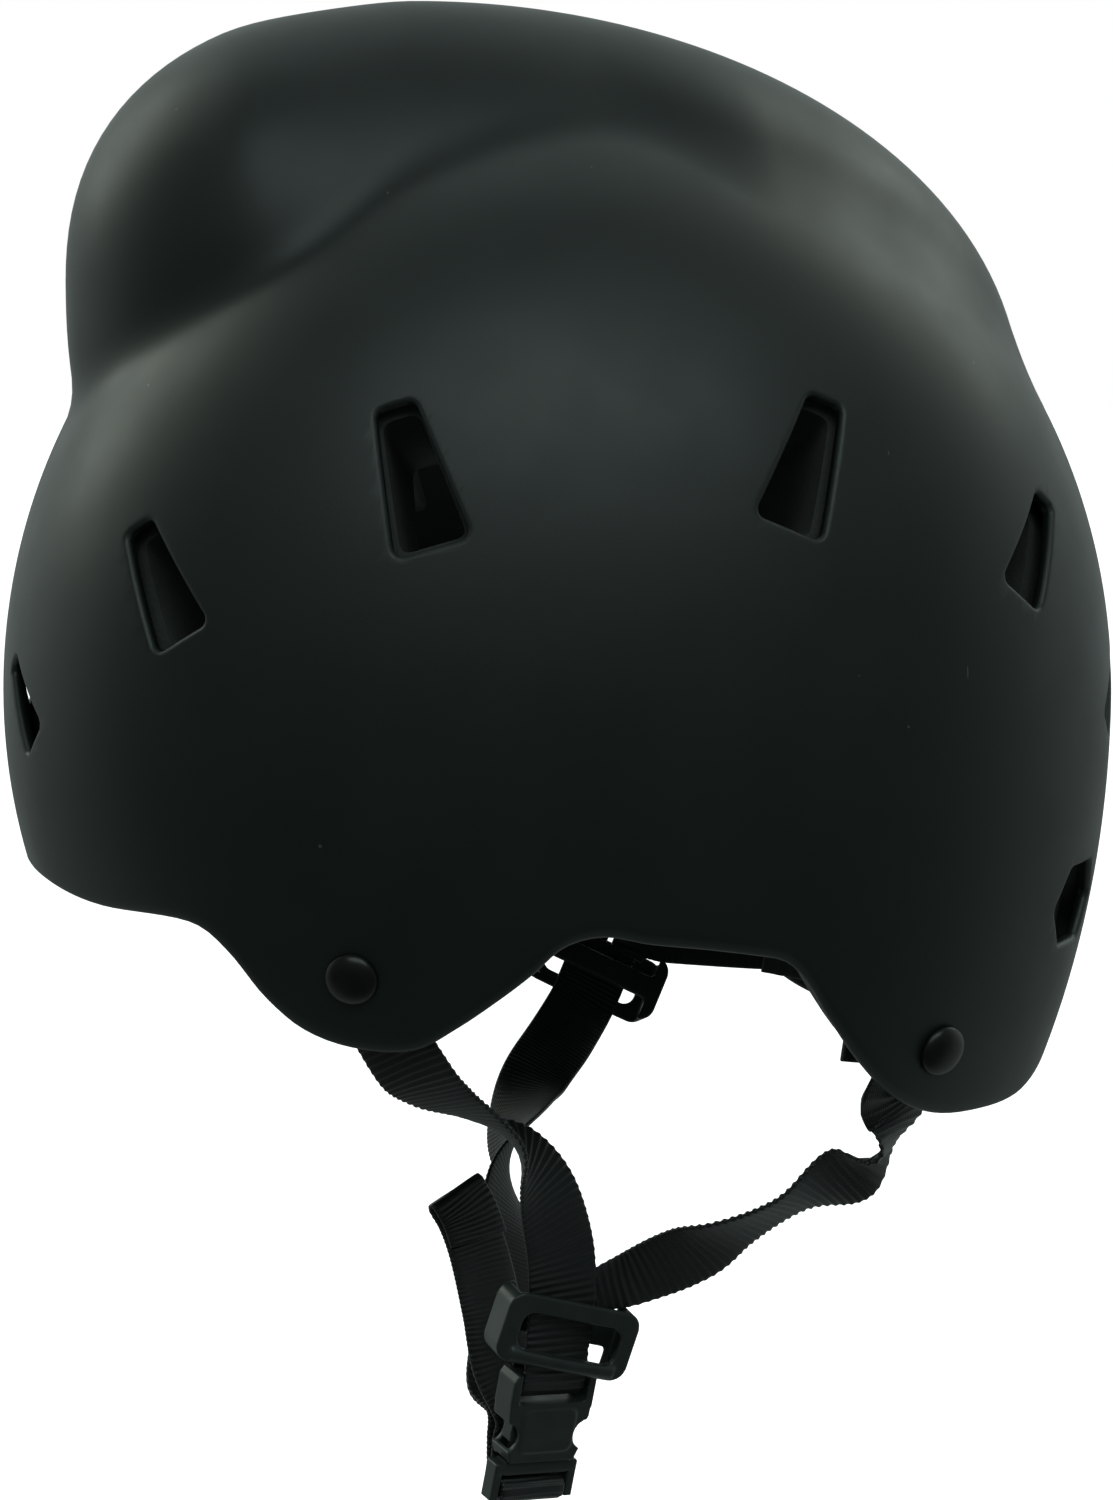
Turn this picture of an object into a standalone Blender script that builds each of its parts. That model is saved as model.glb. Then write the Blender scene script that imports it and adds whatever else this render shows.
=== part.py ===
"""Water-sports helmet: matte shell with a raised crown, foam liner, webbing harness, buckle and nape dial.

Frame: metres, +Z up, the wearer faces -Y, the wearer's left is +X. The origin is the middle of the flat
underside of the crown pad, where the head carries the helmet.
"""
import math

import bmesh
import bpy
import numpy as np
from mathutils import Matrix, Vector

# ---- driving dimensions, in metres ----
LEVEL_Z = -0.070            # height of the shell's widest level, below the head's seat
HALF_WIDTH = 0.112          # shell, at the widest level
HALF_LENGTH = 0.144
DOME_TOP = 0.152            # plain dome above the widest level
DOME_TOP_TILT = 0.001       # more of it at the back
SKIRT = 0.176               # how far down the dome's lower half would close
SKIRT_TILT = 0.028
PLAN_POWER = 2.5            # boxy across the head
CREST_MIDDLE_Y = -0.036     # highest point of the raised crown
CREST_TOP = 0.1785          # above the widest level
CREST_FRONT = 0.0905        # reach of the crown in front of its highest point
CREST_BACK = 0.158
CREST_HALF_WIDTH_FRONT = 0.060
CREST_HALF_WIDTH_BACK = 0.078
CREST_ROOT_BACK = 0.075     # height where the crown is longest, at the back and the front
CREST_ROOT_FRONT = 0.105
CREST_UNDER = 0.095
CREST_SHARE = 0.62          # puts the crown's field on the dome's scale
CREASE_SOFTNESS = 0.035
SHELL_WALL = 0.003
LINER_GAP = 0.0039
LINER_EDGE_RISE = 0.005
FOAM_AT_LEVEL = 0.026
FOAM_AT_EDGE = 0.013
CAVITY_TOP = 0.084          # above the widest level
PAD_GAP = 0.0016

# lower edge of the shell: (angle from the front in degrees, height above the widest level)
EDGE = [(0, -0.041), (12, -0.0415), (25, -0.0445), (36, -0.0448), (40, -0.047), (43, -0.0535),
        (46, -0.0635), (50, -0.0715), (56, -0.0757), (64, -0.0757), (70, -0.0695), (76, -0.0615),
        (80, -0.0555), (84, -0.0487), (89, -0.0462), (95, -0.0483), (102, -0.0500), (109, -0.0522),
        (113, -0.0542), (116, -0.0595), (120, -0.0705), (125, -0.0822), (131, -0.0925), (138, -0.0986),
        (146, -0.1006), (157, -0.1000), (164, -0.0955), (170, -0.0880), (180, -0.0850)]

# vents on one side: angle from the front, height, lean in degrees, size
VENTS = [(14.0, 0.004, 44, 0.68), (35.5, 0.038, 32, 0.86), (64.5, 0.065, 17, 1.0),
         (117.3, 0.067, -24, 0.94), (147.8, 0.0435, -38, 0.80), (165.5, 0.003, -40, 0.60)]
VENT_HEIGHT = 0.0365
VENT_TOP_WIDTH = 0.0105
VENT_FOOT_WIDTH = 0.0188
VENT_CORNER = 0.0022
REAR_VENT = (157.5, -0.0500, 0.0150, 0.0105)   # angle, height, half width, half height
RIVETS = {"front": (57.4, -0.0570), "rear": (136.3, -0.0812)}
RIVET_RADIUS = 0.0067
RIVET_SHANK = 0.0024
# each strap's fixed end, as (angle from the front, height): above its rivet, at it, and on to the shell's edge
STRAP_ENDS = {
    "left_front": [(56.6, -0.0455), (57.4, -0.0570), (59.0, -0.0660), (60.2, -0.0735)],
    "left_rear": [(136.8, -0.0700), (136.3, -0.0812), (134.8, -0.0885), (133.2, -0.0945)],
    "right_front": [(52.0, -0.0530), (57.4, -0.0570), (63.5, -0.0615), (70.0, -0.0665)],
    "right_rear": [(142.0, -0.0800), (136.3, -0.0812), (131.0, -0.0832)],
}

WEB_WIDTH = 0.019
WEB_THICK = 0.0012
STRAP_DEPTH = 0.0054        # of the strap's middle under the shell's outer face
MM = 0.001

COLUMNS = 76
SHELL_ROWS = 13
LINER_COLUMNS = 48

MODEL = bpy.data.collections.new("water_helmet")
CUTTERS = bpy.data.collections.new("cutters")


# ---- small tools ----
def clear_scene():
    for item in list(bpy.data.objects):
        bpy.data.objects.remove(item, do_unlink=True)
    for group in (MODEL, CUTTERS):
        bpy.context.scene.collection.children.link(group)


def material(name, color, roughness, metallic=0.0):
    made = bpy.data.materials.get(name) or bpy.data.materials.new(name)
    made.use_nodes = True
    shader = made.node_tree.nodes["Principled BSDF"]
    shader.inputs["Base Color"].default_value = (*color, 1.0)
    shader.inputs["Roughness"].default_value = roughness
    shader.inputs["Metallic"].default_value = metallic
    return made


def matte_shell():
    return material("matte_shell", (0.017, 0.020, 0.020), 0.55)


def foam():
    return material("eva_foam", (0.045, 0.047, 0.047), 0.9)


def padding():
    return material("pad_cloth", (0.022, 0.023, 0.024), 0.95)


def webbing():
    return material("webbing", (0.010, 0.010, 0.011), 0.8)


def buckle_plastic():
    return material("buckle_plastic", (0.020, 0.022, 0.022), 0.45)


def rivet_finish():
    return material("rivet_finish", (0.012, 0.012, 0.012), 0.35)


def put(name, mesh, finish, collection=None, matrix=None):
    item = bpy.data.objects.new(name, mesh)
    (collection or MODEL).objects.link(item)
    if finish:
        mesh.materials.clear()
        mesh.materials.append(finish)
    if matrix:
        item.matrix_world = matrix
    return item


def mesh_from(name, points, faces):
    mesh = bpy.data.meshes.new(name)
    mesh.from_pydata([tuple(float(c) for c in p) for p in points], [], faces)
    mesh.validate()
    work = bmesh.new()
    work.from_mesh(mesh)
    bmesh.ops.recalc_face_normals(work, faces=work.faces)
    work.to_mesh(mesh)
    work.free()
    return mesh


def as_cutter(item):
    item.hide_render = True
    item.display_type = "WIRE"
    return item


def cut(item, cutter):
    step = item.modifiers.new("cut_" + cutter.name, "BOOLEAN")
    step.operation = "DIFFERENCE"
    step.solver = "EXACT"
    step.object = cutter


def join(item, other):
    step = item.modifiers.new("join_" + other.name, "BOOLEAN")
    step.operation = "UNION"
    step.solver = "EXACT"
    step.object = other


def smooth_step(t):
    t = np.clip(t, 0.0, 1.0)
    return t * t * (3 - 2 * t)


def frame_matrix(origin, x_axis, y_axis, z_axis):
    made = Matrix.Identity(4)
    for column, axis in enumerate((x_axis, y_axis, z_axis)):
        for row in range(3):
            made[row][column] = float(axis[row])
    made.translation = Vector([float(c) for c in origin])
    return made


# ---- the shell's outer surface ----
def dome_field(x, y, z):
    around = y / (np.hypot(x, y) + 1e-9)
    height = np.where(z > 0, DOME_TOP + DOME_TOP_TILT * around, SKIRT + SKIRT_TILT * around)
    size = (np.abs(x) / HALF_WIDTH) ** PLAN_POWER + (y / HALF_LENGTH) ** 2 + (z / height) ** 2
    return 1 - np.sqrt(size)


def crest_field(x, y, z):
    ahead = y - CREST_MIDDLE_Y
    forward = smooth_step(-ahead / 0.050)
    root = CREST_ROOT_BACK + (CREST_ROOT_FRONT - CREST_ROOT_BACK) * forward
    power = 2 + 0.35 * forward
    reach = np.where(ahead < 0, CREST_FRONT, CREST_BACK)
    rise = np.where(z > root, CREST_TOP - root, CREST_UNDER)
    widen = smooth_step((y - 0.005) / 0.045)
    width = CREST_HALF_WIDTH_FRONT + (CREST_HALF_WIDTH_BACK - CREST_HALF_WIDTH_FRONT) * widen
    size = (x / width) ** 2 + (np.abs(ahead) / reach) ** power + (np.abs(z - root) / rise) ** power
    return CREST_SHARE * (1 - np.sqrt(size))


def shell_field(points):
    """Positive inside the helmet's outer surface, for points measured from the widest level."""
    x, y, z = points[..., 0], points[..., 1], points[..., 2]
    dome, crest = dome_field(x, y, z), crest_field(x, y, z)
    mix = np.clip(0.5 + 0.5 * (dome - crest) / CREASE_SOFTNESS, 0, 1)
    return crest * (1 - mix) + dome * mix + CREASE_SOFTNESS * mix * (1 - mix)


HUB = np.array([0.0, 0.0, 0.020])


def surface(angle, tilt):
    """Surface points in the directions given by angle from the front and tilt above level, in radians."""
    angle, tilt = np.broadcast_arrays(angle, tilt)
    ray = np.stack([np.sin(angle) * np.cos(tilt), -np.cos(angle) * np.cos(tilt), np.sin(tilt)], -1)
    near, far = np.full(angle.shape, 0.02), np.full(angle.shape, 0.32)
    for _ in range(32):
        middle = (near + far) / 2
        inside = shell_field(HUB + ray * middle[..., None]) > 0
        near, far = np.where(inside, middle, near), np.where(inside, far, middle)
    return HUB + ray * ((near + far) / 2)[..., None]


def normal_at(points):
    step = 0.0003
    slope = np.stack([shell_field(points + a) - shell_field(points - a) for a in np.eye(3) * step], -1)
    return -slope / np.linalg.norm(slope, axis=-1, keepdims=True)


TILTS = np.radians(np.linspace(-55, 88, 600))


def tilt_for(angle, height):
    """The tilt at which the surface has a given height above the widest level."""
    column = surface(np.full(TILTS.shape, angle), TILTS)
    return float(np.interp(height, column[:, 2], TILTS))


def edge_height(angle):
    """Height of the shell's lower edge, a smooth curve through EDGE, the same on both sides."""
    degrees = abs((math.degrees(angle) + 180) % 360 - 180)
    known = [(-a, h) for a, h in EDGE[2:0:-1]] + EDGE + [(360 - a, h) for a, h in EDGE[-2:-4:-1]]
    k = max(i for i in range(1, len(known) - 2) if known[i][0] <= degrees)
    (a0, h0), (a1, h1), (a2, h2), (a3, h3) = known[k - 1:k + 3]
    t = (degrees - a1) / (a2 - a1)
    start, end = (h2 - h0) / (a2 - a0) * (a2 - a1), (h3 - h1) / (a3 - a1) * (a2 - a1)
    return (h1 * (2 * t**3 - 3 * t**2 + 1) + h2 * (3 * t**2 - 2 * t**3)
            + start * (t**3 - 2 * t**2 + t) + end * (t**3 - t**2))


def frame_on_shell(degrees, height, side=1):
    """A point on the shell with its outward, sideways (away from the front) and upward directions."""
    angle = math.radians(degrees)
    point = surface(np.array(angle), np.array(tilt_for(angle, height)))
    out = normal_at(point)
    across = np.cross([0, 0, 1], out)
    across /= np.linalg.norm(across)
    up = np.cross(out, across)
    flip = np.array([side, 1, 1])
    return (point * flip + [0, 0, LEVEL_Z], out * flip, across * flip, up * flip)


def column_angles(count):
    """Angles around the shell, closer together where the lower edge is steep."""
    fine = np.radians(np.linspace(0, 360, 1441))
    heights = np.array([edge_height(a) for a in fine])
    weight = 1 + 14 * np.abs(np.gradient(heights, fine))
    weight = np.convolve(np.concatenate([weight[-9:-1], weight, weight[1:9]]), np.ones(17) / 17, "valid")
    run = np.concatenate([[0], np.cumsum((weight[1:] + weight[:-1]) / 2)])
    return np.interp(np.arange(count) / count * run[-1], run, fine)


def outer_shell():
    angles = column_angles(COLUMNS)
    rows = []
    for angle in angles:
        low = tilt_for(angle, edge_height(angle))
        tilts = low + (math.pi / 2 - low) * (np.arange(SHELL_ROWS) / SHELL_ROWS)
        rows.append(surface(np.full(SHELL_ROWS, angle), tilts) + [0, 0, LEVEL_Z])
    top = surface(np.array(0.0), np.array(math.pi / 2)) + [0, 0, LEVEL_Z]
    points = [p for row in rows for p in row] + [top]
    faces = []
    for c in range(COLUMNS):
        d = (c + 1) % COLUMNS
        for r in range(SHELL_ROWS - 1):
            a, b = c * SHELL_ROWS + r, d * SHELL_ROWS + r
            faces.append((a, b, b + 1, a + 1))
        faces.append((c * SHELL_ROWS + SHELL_ROWS - 1, d * SHELL_ROWS + SHELL_ROWS - 1, len(points) - 1))
    shell = put("outer_shell", mesh_from("outer_shell", points, faces), matte_shell())
    shell.data.shade_smooth()
    wall = shell.modifiers.new("wall", "SOLIDIFY")
    wall.thickness = SHELL_WALL
    wall.offset = -1
    cut(shell, vent_cutters("shell_vents", 1.0, 0.012, 0.010))
    cut(shell, hole_cutters("shell_rivet_holes", RIVET_SHANK + 0.0004, 0.006, 0.010))
    return shell


# ---- vents ----
def vent_outline(size, scale):
    """A trapezoid, narrow end up, with cut corners, as (across, up) points."""
    high, corner = VENT_HEIGHT / 2 * size * scale, VENT_CORNER * size
    top, foot = VENT_TOP_WIDTH / 2 * size * scale, VENT_FOOT_WIDTH / 2 * size * scale
    return [(-top + corner, high), (top - corner, high), (top, high - corner), (foot, -high + corner),
            (foot - corner, -high), (-foot + corner, -high), (-foot, -high + corner), (-top, high - corner)]


def rear_vent_outline(scale):
    wide, high = REAR_VENT[2] * scale, REAR_VENT[3] * scale
    narrow = wide * 0.55
    return [(-wide, 0), (-narrow, high), (narrow, high), (wide, 0), (narrow, -high), (-narrow, -high)]


def prism(points, out, ring, outside, inside, shrink=1.0):
    """A block with the given outline from outside to inside a surface point, narrower at its inner end."""
    centre = sum(np.array(p) for p in ring) / len(ring)
    inner = [centre + (np.array(p) - centre) * shrink for p in ring]
    base = len(points)
    points += [p + out * outside for p in ring] + [p - out * inside for p in inner]
    n = len(ring)
    faces = [tuple(base + i for i in range(n)), tuple(base + n + i for i in reversed(range(n)))]
    faces += [(base + i, base + n + i, base + n + (i + 1) % n, base + (i + 1) % n) for i in range(n)]
    return faces


def vent_cutters(name, scale, outside, inside, shrink=1.0):
    points, faces = [], []
    for side in (1, -1):
        for degrees, height, lean, size in VENTS:
            point, out, across, up = frame_on_shell(degrees, height, side)
            turn = math.radians(lean)
            axis = -math.sin(turn) * across + math.cos(turn) * up
            span = math.cos(turn) * across + math.sin(turn) * up
            ring = [point + span * u + axis * v for u, v in vent_outline(size, scale)]
            faces += prism(points, out, ring, outside, inside, shrink)
        point, out, across, up = frame_on_shell(REAR_VENT[0], REAR_VENT[1], side)
        ring = [point + across * u + up * v for u, v in rear_vent_outline(scale)]
        faces += prism(points, out, ring, outside, inside, shrink)
    return as_cutter(put(name, mesh_from(name, points, faces), None, CUTTERS))


def each_rivet():
    for side, side_name in ((1, "left"), (-1, "right")):
        for end, (degrees, height) in RIVETS.items():
            yield side_name + "_" + end, frame_on_shell(degrees, height, side)


def hole_cutters(name, radius, outside, inside, sides=14):
    points, faces = [], []
    for _, (point, out, across, up) in each_rivet():
        turns = [2 * math.pi * i / sides for i in range(sides)]
        ring = [point + radius * (math.cos(t) * across + math.sin(t) * up) for t in turns]
        faces += prism(points, out, ring, outside, inside)
    return as_cutter(put(name, mesh_from(name, points, faces), None, CUTTERS))


# ---- liner ----
def foam_inner(angle, height):
    """The liner's inner face: follows the shell below the widest level, and closes as a dome above it."""
    level = min(height, 0.0)
    point = surface(np.array(angle), np.array(tilt_for(angle, level)))
    down = level / edge_height(angle)
    depth = SHELL_WALL + LINER_GAP + FOAM_AT_LEVEL + (FOAM_AT_EDGE - FOAM_AT_LEVEL) * float(smooth_step(down))
    inner = point - normal_at(point) * depth
    if height > 0:
        ease = math.sqrt(max(0.0, 1 - (height / CAVITY_TOP) ** 2))
        inner = np.array([inner[0] * ease, inner[1] * ease, height])
    return inner + [0, 0, LEVEL_Z]


def foam_liner():
    outer_rows, inner_rows = 13, 12
    depth = SHELL_WALL + LINER_GAP
    rings = []
    angles = column_angles(LINER_COLUMNS)
    for angle in angles:
        low = tilt_for(angle, edge_height(angle) + LINER_EDGE_RISE)
        tilts = low + (math.pi / 2 - low) * (np.arange(outer_rows) / outer_rows)
        skin = surface(np.full(outer_rows, angle), tilts)
        skin = skin - normal_at(skin) * depth + [0, 0, LEVEL_Z]
        edge = edge_height(angle) + LINER_EDGE_RISE
        below = [edge * (1 - t) for t in (0, 0.25, 0.5, 0.75, 1.0)]
        above = [CAVITY_TOP * math.sin(math.radians(t)) for t in (10, 20, 32, 44, 56, 68, 80)]
        inside = [foam_inner(angle, h) for h in below + above]
        rings.append(list(reversed(list(skin))) + inside)
    count = outer_rows + inner_rows
    summit = surface(np.array(0.0), np.array(math.pi / 2)) - [0, 0, depth] + [0, 0, LEVEL_Z]
    points = [p for ring in rings for p in ring] + [summit, [0, 0, CAVITY_TOP + LEVEL_Z]]
    faces = []
    for c in range(LINER_COLUMNS):
        d = (c + 1) % LINER_COLUMNS
        for r in range(count - 1):
            a, b = c * count + r, d * count + r
            faces.append((a, a + 1, b + 1, b))
        faces.append((c * count, d * count, len(points) - 2))
        faces.append((d * count + count - 1, c * count + count - 1, len(points) - 1))
    liner = put("foam_liner", mesh_from("foam_liner", points, faces), foam())
    liner.data.shade_smooth()
    cut(liner, vent_cutters("liner_vents", 0.9, 0.004, 0.052, 0.8))
    cut(liner, strap_pockets())
    cut(liner, dial_pocket())
    return liner


def strap_pockets():
    """Room between shell and foam for each strap end, its rivet and its washer, open at the liner's edge."""
    whole = bmesh.new()
    for name in STRAP_ENDS:
        knots = strap_start(name, STRAP_DEPTH + 0.0006)
        first, last = np.array(knots[0]), np.array(knots[-1])
        before = first + (first - np.array(knots[1])) * 0.45
        after = last + (last - np.array(knots[-2])) * 3.0
        pocket = ribbon(name + "_pocket", [tuple(before), *knots, tuple(after)], 2, 0.0235, 0.0072)
        whole.from_mesh(pocket.data)
        bpy.data.objects.remove(pocket)
    mesh = bpy.data.meshes.new("strap_pockets")
    whole.to_mesh(mesh)
    whole.free()
    return as_cutter(put("strap_pockets", mesh, None, CUTTERS))


# ---- pads ----
def wall_pad(name, middle, half_angle, low, high, thick):
    """A pad on the liner's inner wall, between two heights, with rounded corners and thin edges."""
    across, along = 9, 5
    outer, inner = [], []
    for j in range(along):
        v = -1 + 2 * j / (along - 1)
        for i in range(across):
            u = -1 + 2 * i / (across - 1)
            su, sv = u * math.sqrt(1 - 0.16 * v * v), v * math.sqrt(1 - 0.10 * u * u)
            angle = math.radians(middle + half_angle * su)
            height = (low + high) / 2 + (high - low) / 2 * sv
            point = foam_inner(angle, height)
            side = foam_inner(angle + 0.02, height) - foam_inner(angle - 0.02, height)
            rise = foam_inner(angle, height + 0.002) - foam_inner(angle, height - 0.002)
            inward = np.cross(rise, side)
            inward /= np.linalg.norm(inward)
            if np.dot(inward, point) > 0:
                inward = -inward
            crown = 1 - 0.45 * max(abs(u), abs(v)) ** 4
            outer.append(point + inward * PAD_GAP)
            inner.append(point + inward * (PAD_GAP + thick * crown))
    points = outer + inner
    total = across * along
    faces = []
    for j in range(along - 1):
        for i in range(across - 1):
            a = j * across + i
            faces.append((a, a + 1, a + 1 + across, a + across))
            faces.append((total + a, total + a + across, total + a + 1 + across, total + a + 1))
    rim = list(range(across)) + [j * across + across - 1 for j in range(1, along)]
    rim += [along * across - 2 - i for i in range(across - 1)] + [j * across for j in range(along - 2, 0, -1)]
    for k, a in enumerate(rim):
        b = rim[(k + 1) % len(rim)]
        faces.append((a, total + a, total + b, b))
    pad = put(name, mesh_from(name, points, faces), padding())
    pad.data.shade_smooth()
    return pad


def crown_pad():
    """Flat underneath, following the liner's dome above; its underside is the head's seat."""
    half_x, half_y, turns = 0.032, 0.044, 28
    points, faces = [[0, 0, 0], [0, 0, CAVITY_TOP + LEVEL_Z - 0.0008]], []
    for ring, reach in enumerate((0.55, 1.0)):
        for level in (0, 1):
            for i in range(turns):
                t = 2 * math.pi * i / turns
                x, y = half_x * reach * math.sin(t), -half_y * reach * math.cos(t)
                if level:
                    size = (abs(x) / 0.082) ** 2 + (y / 0.114) ** 2
                    points.append([x, y, LEVEL_Z + (CAVITY_TOP - 0.0012) * math.sqrt(1 - size) - 0.0008])
                else:
                    points.append([x, y, 0])
    low_in, top_in, low_out, top_out = (2 + turns * k for k in range(4))
    for i in range(turns):
        j = (i + 1) % turns
        faces += [(0, low_in + j, low_in + i), (low_in + i, low_in + j, low_out + j, low_out + i),
                  (1, top_in + i, top_in + j), (top_in + j, top_in + i, top_out + i, top_out + j),
                  (low_out + i, low_out + j, top_out + j, top_out + i)]
    pad = put("crown_pad", mesh_from("crown_pad", points, faces), padding())
    pad.data.shade_smooth()
    return pad


# ---- rivets and washers ----
def turned(name, profile, finish, matrix, steps=20):
    """A closed turned piece from a profile of (radius, height) points, top to bottom."""
    mesh = bpy.data.meshes.new(name)
    mesh.from_pydata([(r, 0, z) for r, z in profile], [(i, i + 1) for i in range(len(profile) - 1)], [])
    item = put(name, mesh, finish, matrix=matrix)
    spin = item.modifiers.new("turn", "SCREW")
    spin.steps = spin.render_steps = steps
    spin.use_merge_vertices = True
    spin.merge_threshold = 0.0001
    return item


def rivets_and_washers():
    dome = [(RIVET_RADIUS * math.sin(math.radians(a)), 0.0006 + 0.0028 * math.cos(math.radians(a)))
            for a in (0, 22, 45, 68, 88)]
    tail = -STRAP_DEPTH - 0.0018
    for name, (point, out, across, up) in each_rivet():
        side = np.cross(up, out)
        place = frame_matrix(point, side, up, out)
        profile = [(0, dome[0][1])] + dome[1:] + [(RIVET_SHANK, 0.0006), (RIVET_SHANK, tail), (0.0040, tail),
                                                  (0.0040, tail - 0.0008), (0, tail - 0.0008)]
        turned(name + "_rivet", profile, rivet_finish(), place)
        top = -STRAP_DEPTH - WEB_THICK / 2 - 0.0003
        foot = top - 0.0006
        turned(name + "_washer", [(0.0028, top), (0.0065, top), (0.0065, foot), (0.0028, foot), (0.0028, top)],
               rivet_finish(), place)


# ---- webbing ----
def smooth_route(knots, steps):
    """Points on a smooth curve through knots, each a tuple of numbers, with even steps between knots."""
    known = np.array(knots, float)
    padded = np.vstack([2 * known[0] - known[1], known, 2 * known[-1] - known[-2]])
    made = []
    for k in range(1, len(padded) - 2):
        p0, p1, p2, p3 = padded[k - 1:k + 3]
        for s in range(steps):
            t = s / steps
            made.append(0.5 * (2 * p1 + (p2 - p0) * t + (2 * p0 - 5 * p1 + 4 * p2 - p3) * t * t
                               + (3 * p1 - p0 - 3 * p2 + p3) * t**3))
    made.append(known[-1])
    return np.array(made)


def ribbon(name, knots, steps=2, width=WEB_WIDTH, thick=WEB_THICK, finish=None):
    """A flat strap through knots in millimetres: place, direction across, and an optional width scale."""
    route = smooth_route([k if len(k) == 7 else (*k, 1.0) for k in knots], steps)
    centre, span, scale = route[:, :3] * MM, route[:, 3:6], route[:, 6]
    run = np.gradient(centre, axis=0)
    run /= np.linalg.norm(run, axis=1, keepdims=True)
    span = span - run * np.sum(span * run, axis=1, keepdims=True)
    span /= np.linalg.norm(span, axis=1, keepdims=True)
    face = np.cross(run, span)
    points, faces = [], []
    for c, w, n, s in zip(centre, span, face, scale):
        for a, b in ((-1, -1), (1, -1), (1, 1), (-1, 1)):
            points.append(c + w * a * width / 2 * s + n * b * thick / 2)
    last = len(centre) - 1
    for i in range(last):
        for k in range(4):
            a, b = 4 * i + k, 4 * i + (k + 1) % 4
            faces.append((a, b, b + 4, a + 4))
    faces += [(3, 2, 1, 0), (4 * last, 4 * last + 1, 4 * last + 2, 4 * last + 3)]
    return put(name, mesh_from(name, points, faces), finish or webbing())


def strap_start(name, depth=STRAP_DEPTH):
    """Knots of a strap's fixed end, on the shell's inner side, lying on the shell's own curve."""
    side = 1 if name.startswith("left") else -1
    places, outs = [], []
    for degrees, height in STRAP_ENDS[name]:
        point, out, _, _ = frame_on_shell(degrees, height, side)
        places.append((point - out * depth) / MM)
        outs.append(out)
    knots = []
    for run, place, out in zip(np.gradient(np.array(places), axis=0), places, outs):
        across = np.cross(out, run)
        knots.append((*place, *(across / np.linalg.norm(across) * side)))
    return knots


def mirrored(knots):
    return [(-k[0], k[1], k[2], -k[3], *k[4:]) for k in knots]


# free stretches in millimetres: place, then the direction across the webbing, then a width scale where it bunches
LEFT_FRONT_FREE = [
    (86.5, -45, -154, .35, .90, .25), (80, -38, -161, .62, .74, .25), (73, -28.5, -167.5, .90, .40, .15),
    (67, -20, -174, 1, -.10, .10), (62, -14, -182, .85, -.55, 0), (57.2, -9, -193, .55, -.83, 0),
    (52.6, -5.5, -207, .36, -.93, 0), (49.8, -4.6, -219, .33, -.94, 0), (48.2, -5.0, -228, .35, -.93, 0)]
LEFT_REAR_FREE = [
    (73.5, 77.5, -170, -.55, .80, .1), (71, 75, -179, -.95, .2, -.2), (66.5, 66.5, -186, -.45, -.35, -.80),
    (60.5, 52.5, -195, -.75, -.20, -.55), (54, 38, -204, -.72, -.05, -.65), (47.6, 27, -211, -.40, .25, -.86)]
LEFT_REAR_IN_SLIDER = [
    (-15.5, -1.0, 17.5, .85), (-4.7, -1.6, 10.5, .58), (-3.0, -1.9, 6.0, .58), (-2.0, -2.05, 3.0, .58)]
BUCKLE_LOOP = [
    (1.7, 22.5), (2.7, 18.4), (2.9, 14.4), (2.1, 11.6), (0.0, 10.5), (-2.1, 11.6), (-2.9, 14.4), (-2.7, 18.4),
    (-2.0, 21.5)]
RIGHT_SLIDER_CENTRE = (-84.2, 22.0, -160.0)
RIGHT_FRONT_IN_SLIDER = [(-15.5, -0.6, 17.5, .85), (-6.6, -1.15, 11.0, .55), (-5.8, -1.25, 7.0, .55)]
CHIN_FREE = [
    (-80.0, 16.5, -170.0, -.1, .93, -.40), (-72.0, 10.0, -177.5, -.1, .95, -.3), (-60, 2, -184.5, .15, .95, -.3),
    (-47, -4, -191, .6, .75, .1), (-34, -8.5, -198, .9, .3, .3), (-20, -11.5, -207.5, .75, -.5, .45),
    (-8, -13, -218, .55, -.80, .25), (4, -14.5, -228.5, .5, -.84, .12), (15.5, -16, -239, .45, -.89, .05),
    (25.5, -18, -249.5, .44, -.89, 0)]
PLUG_LOOP = [
    (-10.8, 0.5), (-8.4, -6.0), (-6.3, -12.0), (-3.7, -16.8), (-1.2, -18.9), (0.6, -19.1), (2.5, -17.8),
    (2.6, -15.3), (0.6, -13.6), (-2.1, -13.1), (-4.7, -10.2), (-5.7, -5.5), (-7.0, 1.0)]
TAIL_FREE = [
    (33.4, -18.0, -242.0, .46, -.89, 0), (29.5, -20.5, -228.0, .50, -.86, 0), (26.0, -23.5, -214.0, .52, -.85, .05),
    (23.4, -26.5, -205.0, .50, -.86, .1), (22.4, -29.5, -199.5, .45, -.87, .2)]


def through(frame, places, across):
    """Knots from places (across, out, up, width scale) in a slider's or the buckle's own frame."""
    knots = []
    span = frame.to_3x3() @ Vector(across)
    for place in places:
        p = frame @ (Vector(place[:3]) * MM)
        knots.append((p.x / MM, p.y / MM, p.z / MM, *span, *place[3:]))
    return knots


def in_buckle(loop):
    return through(buckle_frame(), [(0, n, u) for n, u in loop], (1, 0, 0))


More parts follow.
